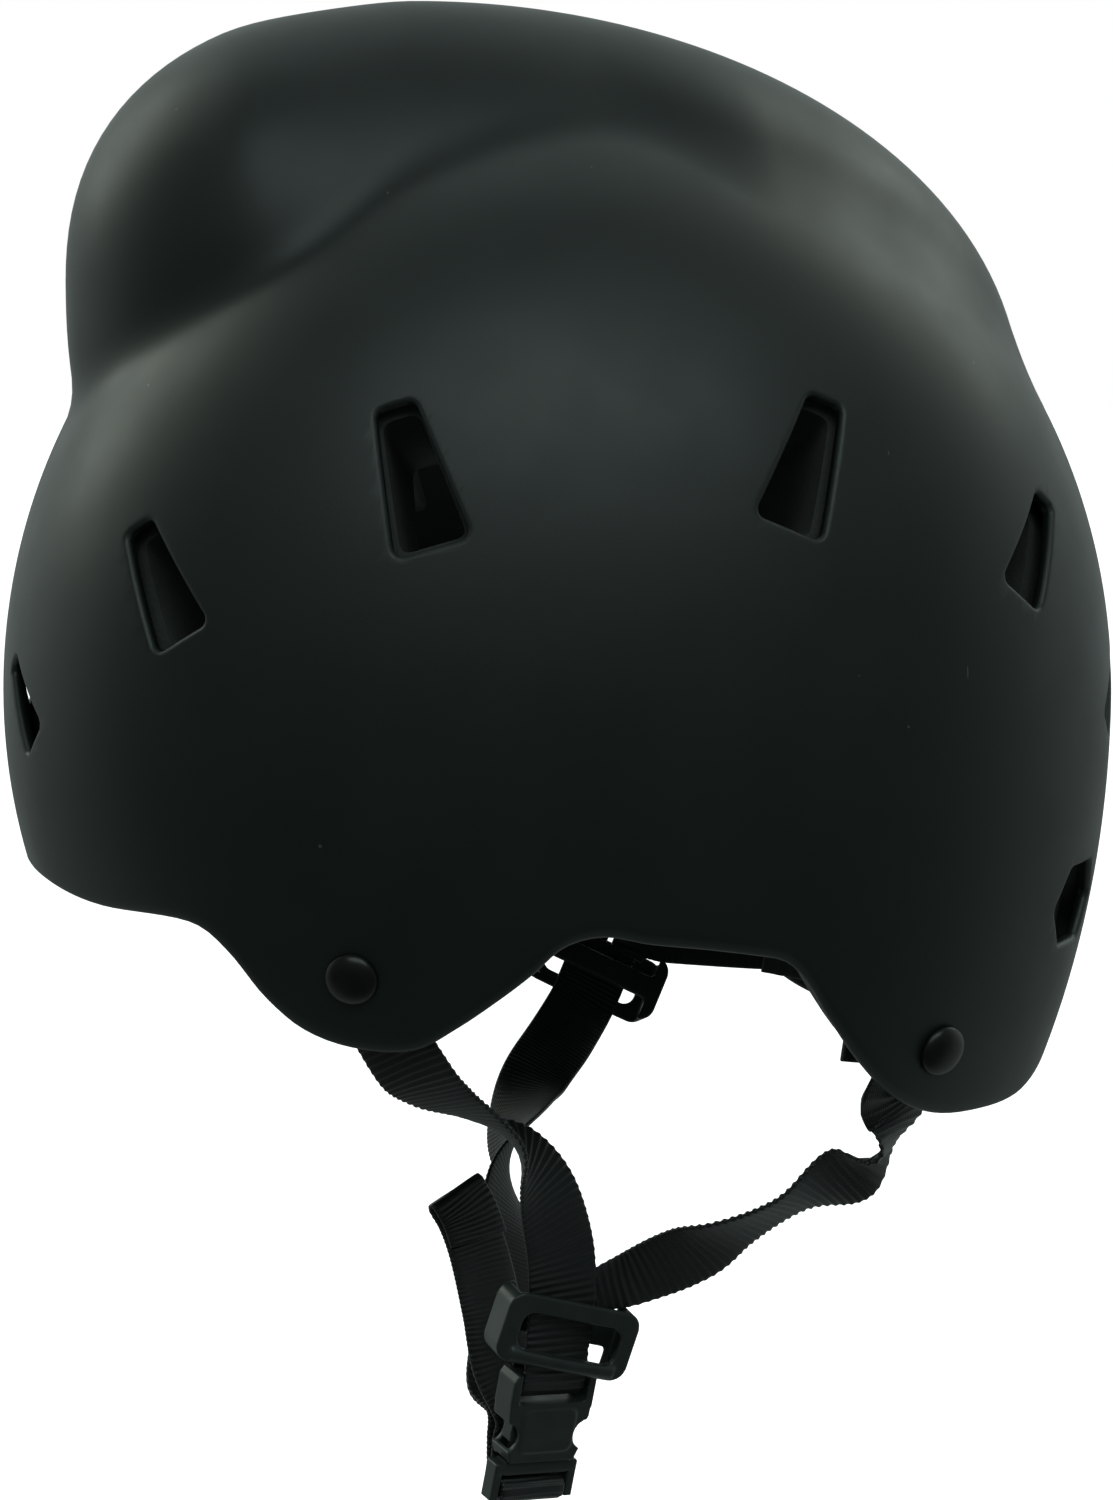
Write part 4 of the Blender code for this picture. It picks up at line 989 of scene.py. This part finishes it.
# ---- moulded fittings ----
def plate(outline, low, high):
    """Points and faces of a plate with an outline in X and Z, thick along Y."""
    n = len(outline)
    points = [(x, low, z) for x, z in outline] + [(x, high, z) for x, z in outline]
    faces = [tuple(range(n)), tuple(reversed(range(n, 2 * n)))]
    faces += [(i, (i + 1) % n, n + (i + 1) % n, n + i) for i in range(n)]
    return points, faces


def bar(radius, half, middle, sides=24, axis="X", bow=0.0):
    """A round bar along X, bowed outwards in the middle, or a short drum along Y."""
    x0, y0, z0 = middle
    points, steps = [], 12
    for k in range(steps + 1):
        x = -half + 2 * half * k / steps
        for i in range(sides):
            t = 2 * math.pi * i / sides
            near, high = radius * math.cos(t), radius * math.sin(t)
            if axis == "X":
                points.append((x0 + x, y0 + near + bow * (1 - (x / half) ** 2), z0 + high))
            else:
                points.append((x0 + near, y0 + x, z0 + high))
    ends = [tuple(range(sides)), tuple(reversed(range(steps * sides, (steps + 1) * sides)))]
    return points, ends + tube_faces(sides, steps)


def brick(half, middle):
    """A box's points and faces."""
    outline = [(middle[0] + i * half[0], middle[2] + k * half[2]) for i, k in CORNERS]
    return plate(outline, middle[1] - half[1], middle[1] + half[1])


def melt(item, name, voxel):
    step = item.modifiers.new(name, "REMESH")
    step.mode, step.voxel_size, step.use_smooth_shade = "VOXEL", voxel, True


def moulding(name, solids, cuts, place, finish, voxel=0.00034, rounds=7):
    """One moulded piece: its solids melted together, its openings cut, and every edge softened."""
    whole = bmesh.new()
    for points, faces in solids:
        whole.from_mesh(mesh_from("solid", points, faces, smooth=False))
    mesh = bpy.data.meshes.new(name)
    whole.to_mesh(mesh)
    whole.free()
    item = put(name, mesh, finish)
    melt(item, "melt", voxel)
    tools = [put("%s_cut_%d" % (name, k), mesh_from("cut", points, faces, smooth=False))
             for k, (points, faces) in enumerate(cuts)]
    for tool in tools:
        cut_with(item, tool)
    if tools:
        melt(item, "set", voxel)
    soften = item.modifiers.new("soften", "SMOOTH")
    soften.factor, soften.iterations = 0.5, rounds
    settle(item)
    for tool in tools:
        bpy.data.objects.remove(tool)
    item.data.transform(place)
    item.data.materials.clear()
    item.data.materials.append(finish)
    item.data.shade_smooth()
    return item


def rounded_outline(wide, high, radius, steps=6, bulge=0.0):
    """A rounded rectangle, its short sides bulged, as (x, z) points."""
    made = []
    for cx, cz, start in ((1, 1, 0), (-1, 1, 90), (-1, -1, 180), (1, -1, 270)):
        for i in range(steps + 1):
            t = math.radians(start + 90 * i / steps)
            x, z = cx * (wide - radius) + radius * math.cos(t), cz * (high - radius) + radius * math.sin(t)
            made.append((x + math.copysign(bulge * (1 - (z / high) ** 2), x), z))
    return made


def window(wide, high, radius, shift, low, top):
    """A rounded rectangle moved by a shift, as a plate from low to top."""
    return plate([(x + shift[0], z + shift[1]) for x, z in rounded_outline(wide, high, radius)], low, top)


def web_slider(name, place, finish, body, node):
    """A strap divider: an oval ring with a thick rounded rim, a lower lip in front and a cross bar behind."""
    long, high, deep = 0.0190, 0.0095, 0.0050
    solids = [plate(rounded_outline(long - .0006, high, .0040, bulge=.0006), -deep, deep),
              bar(.0024, .0150, (-.0002, deep - .0014, -high + .0026), bow=.0012)]
    cuts = [brick((long - .0025, .0035, .02), (-.0003, .0002, 0)),
            window(.0142, .0050, .0032, (-.0004, -.0004), .001, .012)]
    cuts += [window(.0154, .0035, .0016, (-.0002, rise), -.012, -.001) for rise in (.0067, -.0067)]
    return belongs(moulding(name, solids, cuts, place, finish), body, "buckle", node)


BODY_TOP, BODY_FOOT = 0.0170, -0.0075
BODY_SIDE = [(.0113, BODY_TOP), (.0125, BODY_TOP - .002), (.0125, BODY_TOP - .008), (.0117, BODY_FOOT + .009),
             (.0112, BODY_FOOT + .004), (.0097, BODY_FOOT)]
PRONG = [(.0052, .0003), (.0072, .0003), (.0078, .0045), (.0094, .0052),
         (.0096, .0076), (.0094, .0100), (.0072, .0118), (.0060, .0100)]


def buckle(finish):
    """The side-release buckle: body with web slot and finger windows, plug with its bar, and the two prongs."""
    place, deep = buckle_frame(), .0042
    top_left, *left_side = [(-x, z) for x, z in BODY_SIDE]
    solids = [plate([top_left, *BODY_SIDE, *reversed(left_side)], -deep, deep),
              window(.0079, .0058, .0020, (0, .0012), deep - .0002, deep + .0004)]
    cuts = [brick((.0098, .0027, .0090), (0, 0, BODY_FOOT + .0055)),
            window(.0102, .0023, .0012, (0, BODY_TOP - .0060), -.012, .012)]
    cuts += [brick((.0102, .0030, .0042), (0, y, BODY_TOP + .0002)) for y in (.0047, -.0047)]
    cuts += [bar(.0042, .012, (x, 0, -.0005), sides=36, axis="Y") for x in (.0125, -.0125)]
    body = moulding("buckle_housing", solids, cuts, place, finish, voxel=.00030, rounds=5)
    belongs(body, ROOT, "buckle", "buckle_body")
    solids = [brick((.0094, .0024, .0019), (0, 0, BODY_FOOT - .0024)),
              brick((.0022, .0012, .0065), (0, 0, BODY_FOOT + .0030))]
    solids += [brick((.0012, .0024, .0050), (x, 0, BODY_FOOT - .0062)) for x in (.0112, -.0112)]
    solids += [brick((.0122, .0026, .0013), (0, 0, BODY_FOOT - .0022)),
               bar(.0013, .0122, (0, 0, BODY_FOOT - .0092))]
    plug = moulding("buckle_tongue", solids, [], place, finish, voxel=.00030, rounds=4)
    belongs(plug, "plug", "buckle", "buckle_plug")
    for side, name in ((1, "front"), (-1, "rear")):
        solid = plate([(side * x, BODY_FOOT + z) for x, z in PRONG], -.0022, .0022)
        prong = moulding("prong_" + name, [solid], [], place, finish, voxel=.00026, rounds=4)
        belongs(prong, "prong_" + name, "buckle", "plug_prong_" + name)


# ---- nape dial ----
DIAL_Y, DIAL_Z = 0.100, -0.162
RACK_RISE = 0.0045


def dial(finish, grip_finish, band_finish):
    """The nape dial: its case, the knob, and the two bands that it draws in."""
    place = Matrix.Translation((0, DIAL_Y, DIAL_Z))
    wide, deep, high = .023, .0058, .0125
    solids = [plate(rounded_outline(wide, high, .0052), -deep, deep)]
    cuts = [brick((.030, .0017, .0031), (0, 0, rise)) for rise in (RACK_RISE + .0006, -RACK_RISE - .0006)]
    cuts.append(bar(.0026, .010, (0, .005, 0), sides=30, axis="Y"))
    case = moulding("dial_case", solids, cuts, place, finish, voxel=.00045, rounds=5)
    belongs(case, ROOT, "buckle", "dial_housing")
    # the knob: a turned drum whose side is scalloped for grip
    profile = [(0.0, .0142), (.0055, .0142), (.0062, .0148), (.0082, .0150), (.0096, .0149), (.0108, .0142),
               (.0116, .0132), (.0120, .0118), (.0120, .0100), (.0120, .0084), (.0117, .0070), (.0108, .0064),
               (.0021, .0064), (.0021, -.0012), (0.0, -.0012)]
    points, steps = [], 216
    for k in range(steps):
        turn = 2 * math.pi * k / steps
        for radius, rise in profile:
            grip = smooth_step((radius - .0100) / .0016) * .0007 * (0.5 - 0.5 * math.cos(18 * turn)) ** 2
            r = radius - grip
            points.append((r * math.sin(turn), DIAL_Y + rise, DIAL_Z + r * math.cos(turn)))
    mesh = mesh_from("grip", points, turned_faces(len(profile), steps))
    weld(mesh, 50)
    belongs(put("dial_grip", mesh, grip_finish), "dial", "buckle", "dial_knob")
    for side, name in ((1, "left"), (-1, "right")):
        z = DIAL_Z / MM + side * (RACK_RISE / MM + .6)
        knots = [(-10, DIAL_Y / MM, z, .45), (12, DIAL_Y / MM, z, .45), (30.5, DIAL_Y / MM - .2, z, .45)]
        knots += [(x, y, DIAL_Z / MM + rise, 1.0)
                  for x, y, rise in ((38, 97.4, 2), (47.6, 90.6, 4), (56.5, 80, 7), (61.5, 66, 9.5))]
        knots = [(side * x, y, z, 0, 0, 1, scale) for x, y, z, scale in knots]
        band, _, _ = ribbon("fit_band_" + name, knots, band_finish, .00025, .0040, .0008, .0018, width=.011)
        belongs(band, "band_" + name, "buckle", name + "_band")


# ---- pieces that Geometry Nodes repeat ----
def new_tree(name, inputs):
    """A geometry tree with named inputs: returns the tree and its group input."""
    tree = bpy.data.node_groups.new(name, "GeometryNodeTree")
    tree.interface.new_socket("Geometry", in_out="INPUT", socket_type="NodeSocketGeometry")
    tree.interface.new_socket("Geometry", in_out="OUTPUT", socket_type="NodeSocketGeometry")
    for label, kind in inputs:
        tree.interface.new_socket(label, in_out="INPUT", socket_type=kind)
    return tree, add(tree, "NodeGroupInput")


def close_tree(tree, points, form, turn, size, finish):
    """Sets a form on points, turned and sized, and gives it its finish."""
    spread = add(tree, "GeometryNodeInstanceOnPoints", {"Points": points, "Instance": form,
                                                        "Rotation": turn.outputs[0], "Scale": size})
    real = add(tree, "GeometryNodeRealizeInstances", {0: spread.outputs[0]})
    painted = add(tree, "GeometryNodeSetMaterial", {"Geometry": real.outputs[0], "Material": finish})
    add(tree, "NodeGroupOutput", {0: painted.outputs[0]})


def grow(item, tree, values):
    """Runs a tree on an object with its named inputs set, and keeps the plain mesh."""
    step = item.modifiers.new("grow", "NODES")
    step.node_group = tree
    names = {socket.name: socket.identifier for socket in tree.interface.items_tree
             if socket.item_type == "SOCKET" and socket.in_out == "INPUT"}
    for label, value in values.items():
        step[names[label]] = value
    return settle(item)


def rivet_form():
    """One rivet, head up: a shallow dome with a rolled rim, its shank, its tail and the washer on the strap."""
    head = [(0.0, .0034)]
    head += [(RIVET_RADIUS * math.sin(a), .0006 + .0028 * math.cos(a))
             for a in map(math.radians, range(8, 88, 8))]
    head += [(RIVET_RADIUS, .0006), (RIVET_RADIUS * .985, .0002), (RIVET_RADIUS * .93, .00005), (.0024, .0001)]
    tail = -STRAP_DEPTH - .0018
    rest = [(.0024, tail), (.0040, tail), (.0040, tail - .0008), (0.0, tail - .0008)]
    top = -STRAP_DEPTH - WEB_THICK / 2 - .0003
    washer = [(.0028, top), (.0063, top), (.0065, top - .0002), (.0065, top - .0005), (.0063, top - .0006),
              (.0028, top - .0006), (.0028, top)]
    points, faces, steps = [], [], 48
    for profile in (head + rest, washer):
        n, base = len(profile), len(points)
        for k in range(steps):
            turn = 2 * math.pi * k / steps
            points += [(r * math.cos(turn), r * math.sin(turn), z) for r, z in profile]
        faces += turned_faces(n, steps, base)
    mesh = mesh_from("rivet_form", points, faces)
    weld(mesh, 60)
    return put("rivet_form", mesh)


def rivets(finish):
    places, outs = [], []
    for side in (1, -1):
        for degrees, height in RIVETS.values():
            point, out, _, _ = frame_on_shell(degrees, height, side)
            places.append(point)
            outs.append(out)
    mesh = bpy.data.meshes.new("rivets")
    mesh.from_pydata([tuple(p) for p in places], [], [])
    directions = mesh.attributes.new("out", "FLOAT_VECTOR", "POINT").data
    directions.foreach_set("vector", np.array(outs, np.float32).ravel())
    tree, given = new_tree("set_rivets", [("Rivet", "NodeSocketObject"), ("Size", "NodeSocketFloat")])
    form = add(tree, "GeometryNodeObjectInfo", {"Object": given.outputs["Rivet"]})
    out = add(tree, "GeometryNodeInputNamedAttribute", {"Name": "out"}, data_type="FLOAT_VECTOR")
    turn = add(tree, "FunctionNodeAlignRotationToVector", {"Vector": out.outputs[0]}, axis="Z")
    close_tree(tree, given.outputs["Geometry"], form.outputs["Geometry"], turn, given.outputs["Size"], finish)
    form_object = rivet_form()
    item = grow(put("rivets", mesh), tree, {"Rivet": form_object, "Size": 1.0})
    bpy.data.objects.remove(form_object)
    nodes = [side + "_" + end + "_" + what for side in ("left", "right") for end in ("front", "rear")
             for what in ("rivet", "washer")]
    return belongs(item, ROOT, "rivets", *nodes)


def stitch_tree(finish):
    """A tree that sets stitches of a length and thickness along lines, a pitch apart."""
    tree, given = new_tree("sew", [(label, "NodeSocketFloat") for label in ("Pitch", "Length", "Thickness")])
    thread = add(tree, "GeometryNodeMeshToCurve", {0: given.outputs["Geometry"]})
    spaced = add(tree, "GeometryNodeResampleCurve",
                 {"Curve": thread.outputs[0], "Length": given.outputs["Pitch"]}, mode="LENGTH")
    tangent = add(tree, "GeometryNodeInputTangent")
    turn = add(tree, "FunctionNodeAlignRotationToVector", {"Vector": tangent.outputs[0]}, axis="X")
    knot = add(tree, "GeometryNodeMeshUVSphere", {"Segments": 6, "Rings": 5, "Radius": 0.5})
    size = add(tree, "ShaderNodeCombineXYZ", {0: given.outputs["Length"], 1: given.outputs["Thickness"],
                                              2: given.outputs["Thickness"]})
    close_tree(tree, spaced.outputs[0], knot.outputs[0], turn, size.outputs[0], finish)
    return tree


def sew(name, lines, tree, slot, pitch, length, thickness):
    """Rows of stitches along polylines."""
    points, edges = [], []
    for line in lines:
        base = len(points)
        points += [tuple(float(c) for c in p) for p in line]
        edges += [(base + i, base + i + 1) for i in range(len(line) - 1)]
    mesh = bpy.data.meshes.new(name)
    mesh.from_pydata(points, edges, [])
    item = grow(put(name, mesh), tree, {"Pitch": pitch, "Length": length, "Thickness": thickness})
    item.data.shade_smooth()
    return belongs(item, ROOT, slot)


# ---- pads ----
def swell(item, cap, voxel=0.0032):
    """Fills a pad: its skin is remeshed, blown up as cloth, held to a cap, and smoothed by one subdivision."""
    step = item.modifiers.new("skin", "REMESH")
    step.mode, step.voxel_size = "VOXEL", voxel
    settle(item)
    rest = np.zeros(len(item.data.vertices) * 3)
    item.data.vertices.foreach_get("co", rest)
    cloth = item.modifiers.new("fill", "CLOTH")
    cloth.settings.use_pressure = True
    cloth.settings.uniform_pressure_force = 4.0
    cloth.settings.effector_weights.gravity = 0.0
    cloth.settings.tension_stiffness = cloth.settings.compression_stiffness = 40.0
    for number in range(1, 21):
        bpy.context.scene.frame_set(number)
    graph = bpy.context.evaluated_depsgraph_get()
    blown = item.evaluated_get(graph).to_mesh()
    moved = np.zeros_like(rest)
    blown.vertices.foreach_get("co", moved)
    item.evaluated_get(graph).to_mesh_clear()
    item.modifiers.clear()
    bpy.context.scene.frame_set(1)
    shift = (moved - rest).reshape(-1, 3)
    size = np.linalg.norm(shift, axis=1, keepdims=True)
    shift *= np.minimum(1.0, cap / np.maximum(size, 1e-9))
    item.data.vertices.foreach_set("co", (rest.reshape(-1, 3) + shift).ravel())
    soften = item.modifiers.new("soften", "SMOOTH")
    soften.factor, soften.iterations = 0.5, 3
    finer = item.modifiers.new("finer", "SUBSURF")
    finer.levels = finer.render_levels = 1
    settle(item)
    item.data.shade_smooth()
    return item


def closed_pad(name, outer, inner, finish):
    """A closed pad from two grids of points, the face against the foam and the face against the head."""
    rows, columns = outer.shape[:2]
    total = rows * columns
    faces = []
    for j in range(rows - 1):
        for i in range(columns - 1):
            a = j * columns + i
            faces += [(a, a + 1, a + 1 + columns, a + columns),
                      (total + a, total + a + columns, total + a + 1 + columns, total + a + 1)]
    rim = list(range(columns)) + [j * columns + columns - 1 for j in range(1, rows)]
    rim += [rows * columns - 2 - i for i in range(columns - 1)] + [j * columns for j in range(rows - 2, 0, -1)]
    faces += [(a, total + a, total + b, b) for a, b in zip(rim, rim[1:] + rim[:1])]
    return put(name, mesh_from(name, np.vstack([outer.reshape(-1, 3), inner.reshape(-1, 3)]), faces), finish)


def wall_pad(name, node, middle, half_angle, low, high, thick, finish, flip):
    """A curved pad on the liner's wall, flipped to the right side if asked; returns its line of stitches."""
    columns, rows = 21, 11
    u, v = np.meshgrid(np.linspace(-1, 1, columns), np.linspace(-1, 1, rows))
    su, sv = u * np.sqrt(1 - 0.16 * v * v), v * np.sqrt(1 - 0.10 * u * u)
    angles = np.radians(middle + half_angle * su).ravel()
    heights = ((low + high) / 2 + (high - low) / 2 * sv).ravel()
    wall = foam_inner(angles, heights).reshape(rows, columns, 3)
    if flip:
        wall = wall * [-1, 1, 1]
    inward = np.cross(np.gradient(wall, axis=0), np.gradient(wall, axis=1))
    inward /= np.linalg.norm(inward, axis=-1, keepdims=True)
    inward *= np.where(np.sum(inward * (wall * [1, 1, 0]), axis=-1, keepdims=True) > 0, -1, 1)
    crown = 1 - 0.55 * np.maximum(np.abs(u), np.abs(v)) ** 5
    inner = wall + inward * (PAD_GAP + (thick - 0.0012) * crown[..., None])
    item = closed_pad(name, wall + inward * (PAD_GAP + 0.0003), inner, finish)
    swell(item, 0.0022)
    belongs(item, ROOT, "padding", node)
    ring = [inner[0, i] for i in range(2, columns - 2)] + [inner[j, -1] for j in range(2, rows - 2)]
    ring += [inner[-1, i] for i in range(columns - 3, 1, -1)] + [inner[j, 0] for j in range(rows - 3, 1, -1)]
    centre = inner[rows // 2, columns // 2]
    ring = [p + (centre - p) * 0.13 for p in ring]
    return on_face(item, ring + ring[:1], centre * [1, 1, 0] * -1)


def on_face(item, line, towards):
    """A line of points put onto the face of a pad that looks a given way."""
    towards = Vector([float(c) for c in towards]).normalized()
    made = []
    for p in line:
        start = Vector([float(c) for c in p]) + towards * 0.02
        hit, where, normal, _ = item.ray_cast(start, -towards)
        made.append(where + normal * 0.0001 if hit else Vector([float(c) for c in p]))
    return made


def crown_pad(finish):
    half_x, half_y, rings, turns = 0.032, 0.044, 9, 40
    lower, upper = [], []
    for ring in range(rings):
        reach = (ring + 0.15) / (rings - 1 + 0.15)
        for i in range(turns):
            t = 2 * math.pi * i / turns
            x, y = half_x * reach * math.sin(t), -half_y * reach * math.cos(t)
            size = (abs(x) / 0.082) ** 2 + (y / 0.114) ** 2
            upper.append((x, y, LEVEL_Z + (CAVITY_TOP - 0.0012) * math.sqrt(1 - size) - 0.0012))
            lower.append((x, y, 0.0012 + 0.0022 * reach**6))
    total = rings * turns
    faces = []
    for ring in range(rings - 1):
        for i in range(turns):
            j = (i + 1) % turns
            a, b, c, d = ring * turns + i, ring * turns + j, (ring + 1) * turns + j, (ring + 1) * turns + i
            faces += [(a, b, c, d), (total + d, total + c, total + b, total + a)]
    last = (rings - 1) * turns
    faces += [(last + i, last + (i + 1) % turns, total + last + (i + 1) % turns, total + last + i)
              for i in range(turns)]
    faces += [tuple(reversed(range(turns))), tuple(total + i for i in range(turns))]
    item = put("crown_cushion", mesh_from("crown_cushion", lower + upper, faces), finish)
    swell(item, 0.0020)
    belongs(item, ROOT, "padding", "crown_pad")
    ring = [lower[(rings - 2) * turns + i] for i in range(turns)]
    return on_face(item, ring + ring[:1], (0, 0, -1))


# CAD node, middle and half of its arc in degrees, low and high edge above the widest level, thickness
WALL_PADS = {
    "brow_cushion": ("front_pad", 0, 34, -0.030, 0.006, 0.008),
    "nape_cushion": ("rear_pad", 180, 30, -0.022, 0.018, 0.008),
    "left_temple_cushion": ("left_side_pad", 90, 24, -0.018, 0.020, 0.007),
    "right_temple_cushion": ("right_side_pad", 90, 24, -0.018, 0.020, 0.007),
}


def pads(finish, thread_tree):
    lines = [crown_pad(finish)]
    for name, sizes in WALL_PADS.items():
        lines.append(wall_pad(name, *sizes, finish, flip=name.startswith("right")))
    return sew("pad_stitches", lines, thread_tree, "padding", pitch=0.0032, length=0.0026, thickness=0.0005)


def web_stitches(routes, tree):
    """Two rows of stitches, on both faces, across the folded end of the chin strap."""
    centre, span, face, even = routes["chin_strap"]
    lines = []
    fold = int(np.argmax(centre[:, 2] * (even > even[-1] * 0.7)))
    for back in (0.0065, 0.0092):
        k = int(np.searchsorted(even, even[fold] - back))
        for out in (-1, 1):
            lines.append([centre[k] + span[k] * s * 0.0082 + face[k] * out * (0.0011 if out < 0 else 0.0034)
                          for s in np.linspace(-1, 1, 9)])
    return sew("web_stitches", lines, tree, "webbing", pitch=0.0021, length=0.0018, thickness=0.00042)


# ---- the studio ----
def studio():
    mesh = bpy.data.meshes.new("floor")
    mesh.from_pydata([(i * FLOOR_REACH, j * FLOOR_REACH, FLOOR_Z) for i, j in CORNERS], [], [(0, 1, 2, 3)])
    floor = put("floor", mesh, painted_floor())
    floor.visible_diffuse = floor.visible_glossy = False
    bpy.context.scene.view_settings.view_transform = "Standard"
    world = bpy.data.worlds.new("studio")
    bpy.context.scene.world = world
    world.use_nodes = True
    tree = world.node_tree
    tree.nodes.clear()
    direction = add(tree, "ShaderNodeTexCoord").outputs["Generated"]
    ahead = add(tree, "ShaderNodeVectorMath", {0: direction, 1: tuple(VIEW_FROM)}, operation="DOT_PRODUCT")
    dim = ranged(tree, ahead.outputs["Value"], -0.25, 0.35, 0.62, 0.13, interpolation_type="SMOOTHSTEP")
    height = add(tree, "ShaderNodeSeparateXYZ", {0: direction})
    below = ranged(tree, height.outputs["Z"], -0.4, 0.25, 0.45, 1.0, interpolation_type="SMOOTHSTEP")
    strength = maths(tree, "MULTIPLY", dim, below)
    glow = add(tree, "ShaderNodeBackground", {"Color": linear("ECFCF8"), "Strength": strength})
    plain = add(tree, "ShaderNodeBackground", {"Color": linear("FFFFFF"), "Strength": 1.0})
    seen = add(tree, "ShaderNodeLightPath").outputs["Is Camera Ray"]
    mixed = add(tree, "ShaderNodeMixShader", {0: seen, 1: glow.outputs[0], 2: plain.outputs[0]})
    add(tree, "ShaderNodeOutputWorld", {0: mixed.outputs[0]})


def lights():
    for name, (place, width, height, power, colour) in LIGHTS.items():
        data = bpy.data.lights.new(name, "AREA")
        data.shape, data.size, data.size_y, data.energy = "RECTANGLE", width, height, power
        data.color = linear(colour)[:3]
        light = bpy.data.objects.new(name, data)
        light.location = place
        light.rotation_euler = (-Vector(place)).to_track_quat("-Z", "Y").to_euler()
        bpy.context.scene.collection.objects.link(light)


# ---- the helmet ----
set_camera()
studio()
lights()
SHELL_ABS = moulded_shell_abs()
FOAM = cut_eva_foam()
KNIT = brushed_knit()
WEB = woven_polyester()
ACETAL = moulded_acetal("moulded_acetal", "2A302F", "373E3C", 0.30, 0.42)
GRIP = moulded_acetal("etched_grip_acetal", "121415", "1B1E1F", 0.50, 0.62)
BAND = moulded_acetal("flexible_band_nylon", "2A2E2D", "373C3B", 0.42, 0.55)
PAINTED = moulded_acetal("black_painted_brass", "0C0D0D", "131515", 0.26, 0.36)
THREAD = sewing_thread()

shell(SHELL_ABS)
liner(FOAM)
rivets(PAINTED)
ROUTES = straps(WEB)
web_slider("left_web_slider", left_slider_frame(), ACETAL, "left_slider_body", "left_slider")
web_slider("right_web_slider", right_slider_frame(), ACETAL, "right_slider_body", "right_slider")
buckle(ACETAL)
dial(ACETAL, GRIP, BAND)
SEW = stitch_tree(THREAD)
pads(KNIT, SEW)
web_stitches(ROUTES, SEW)
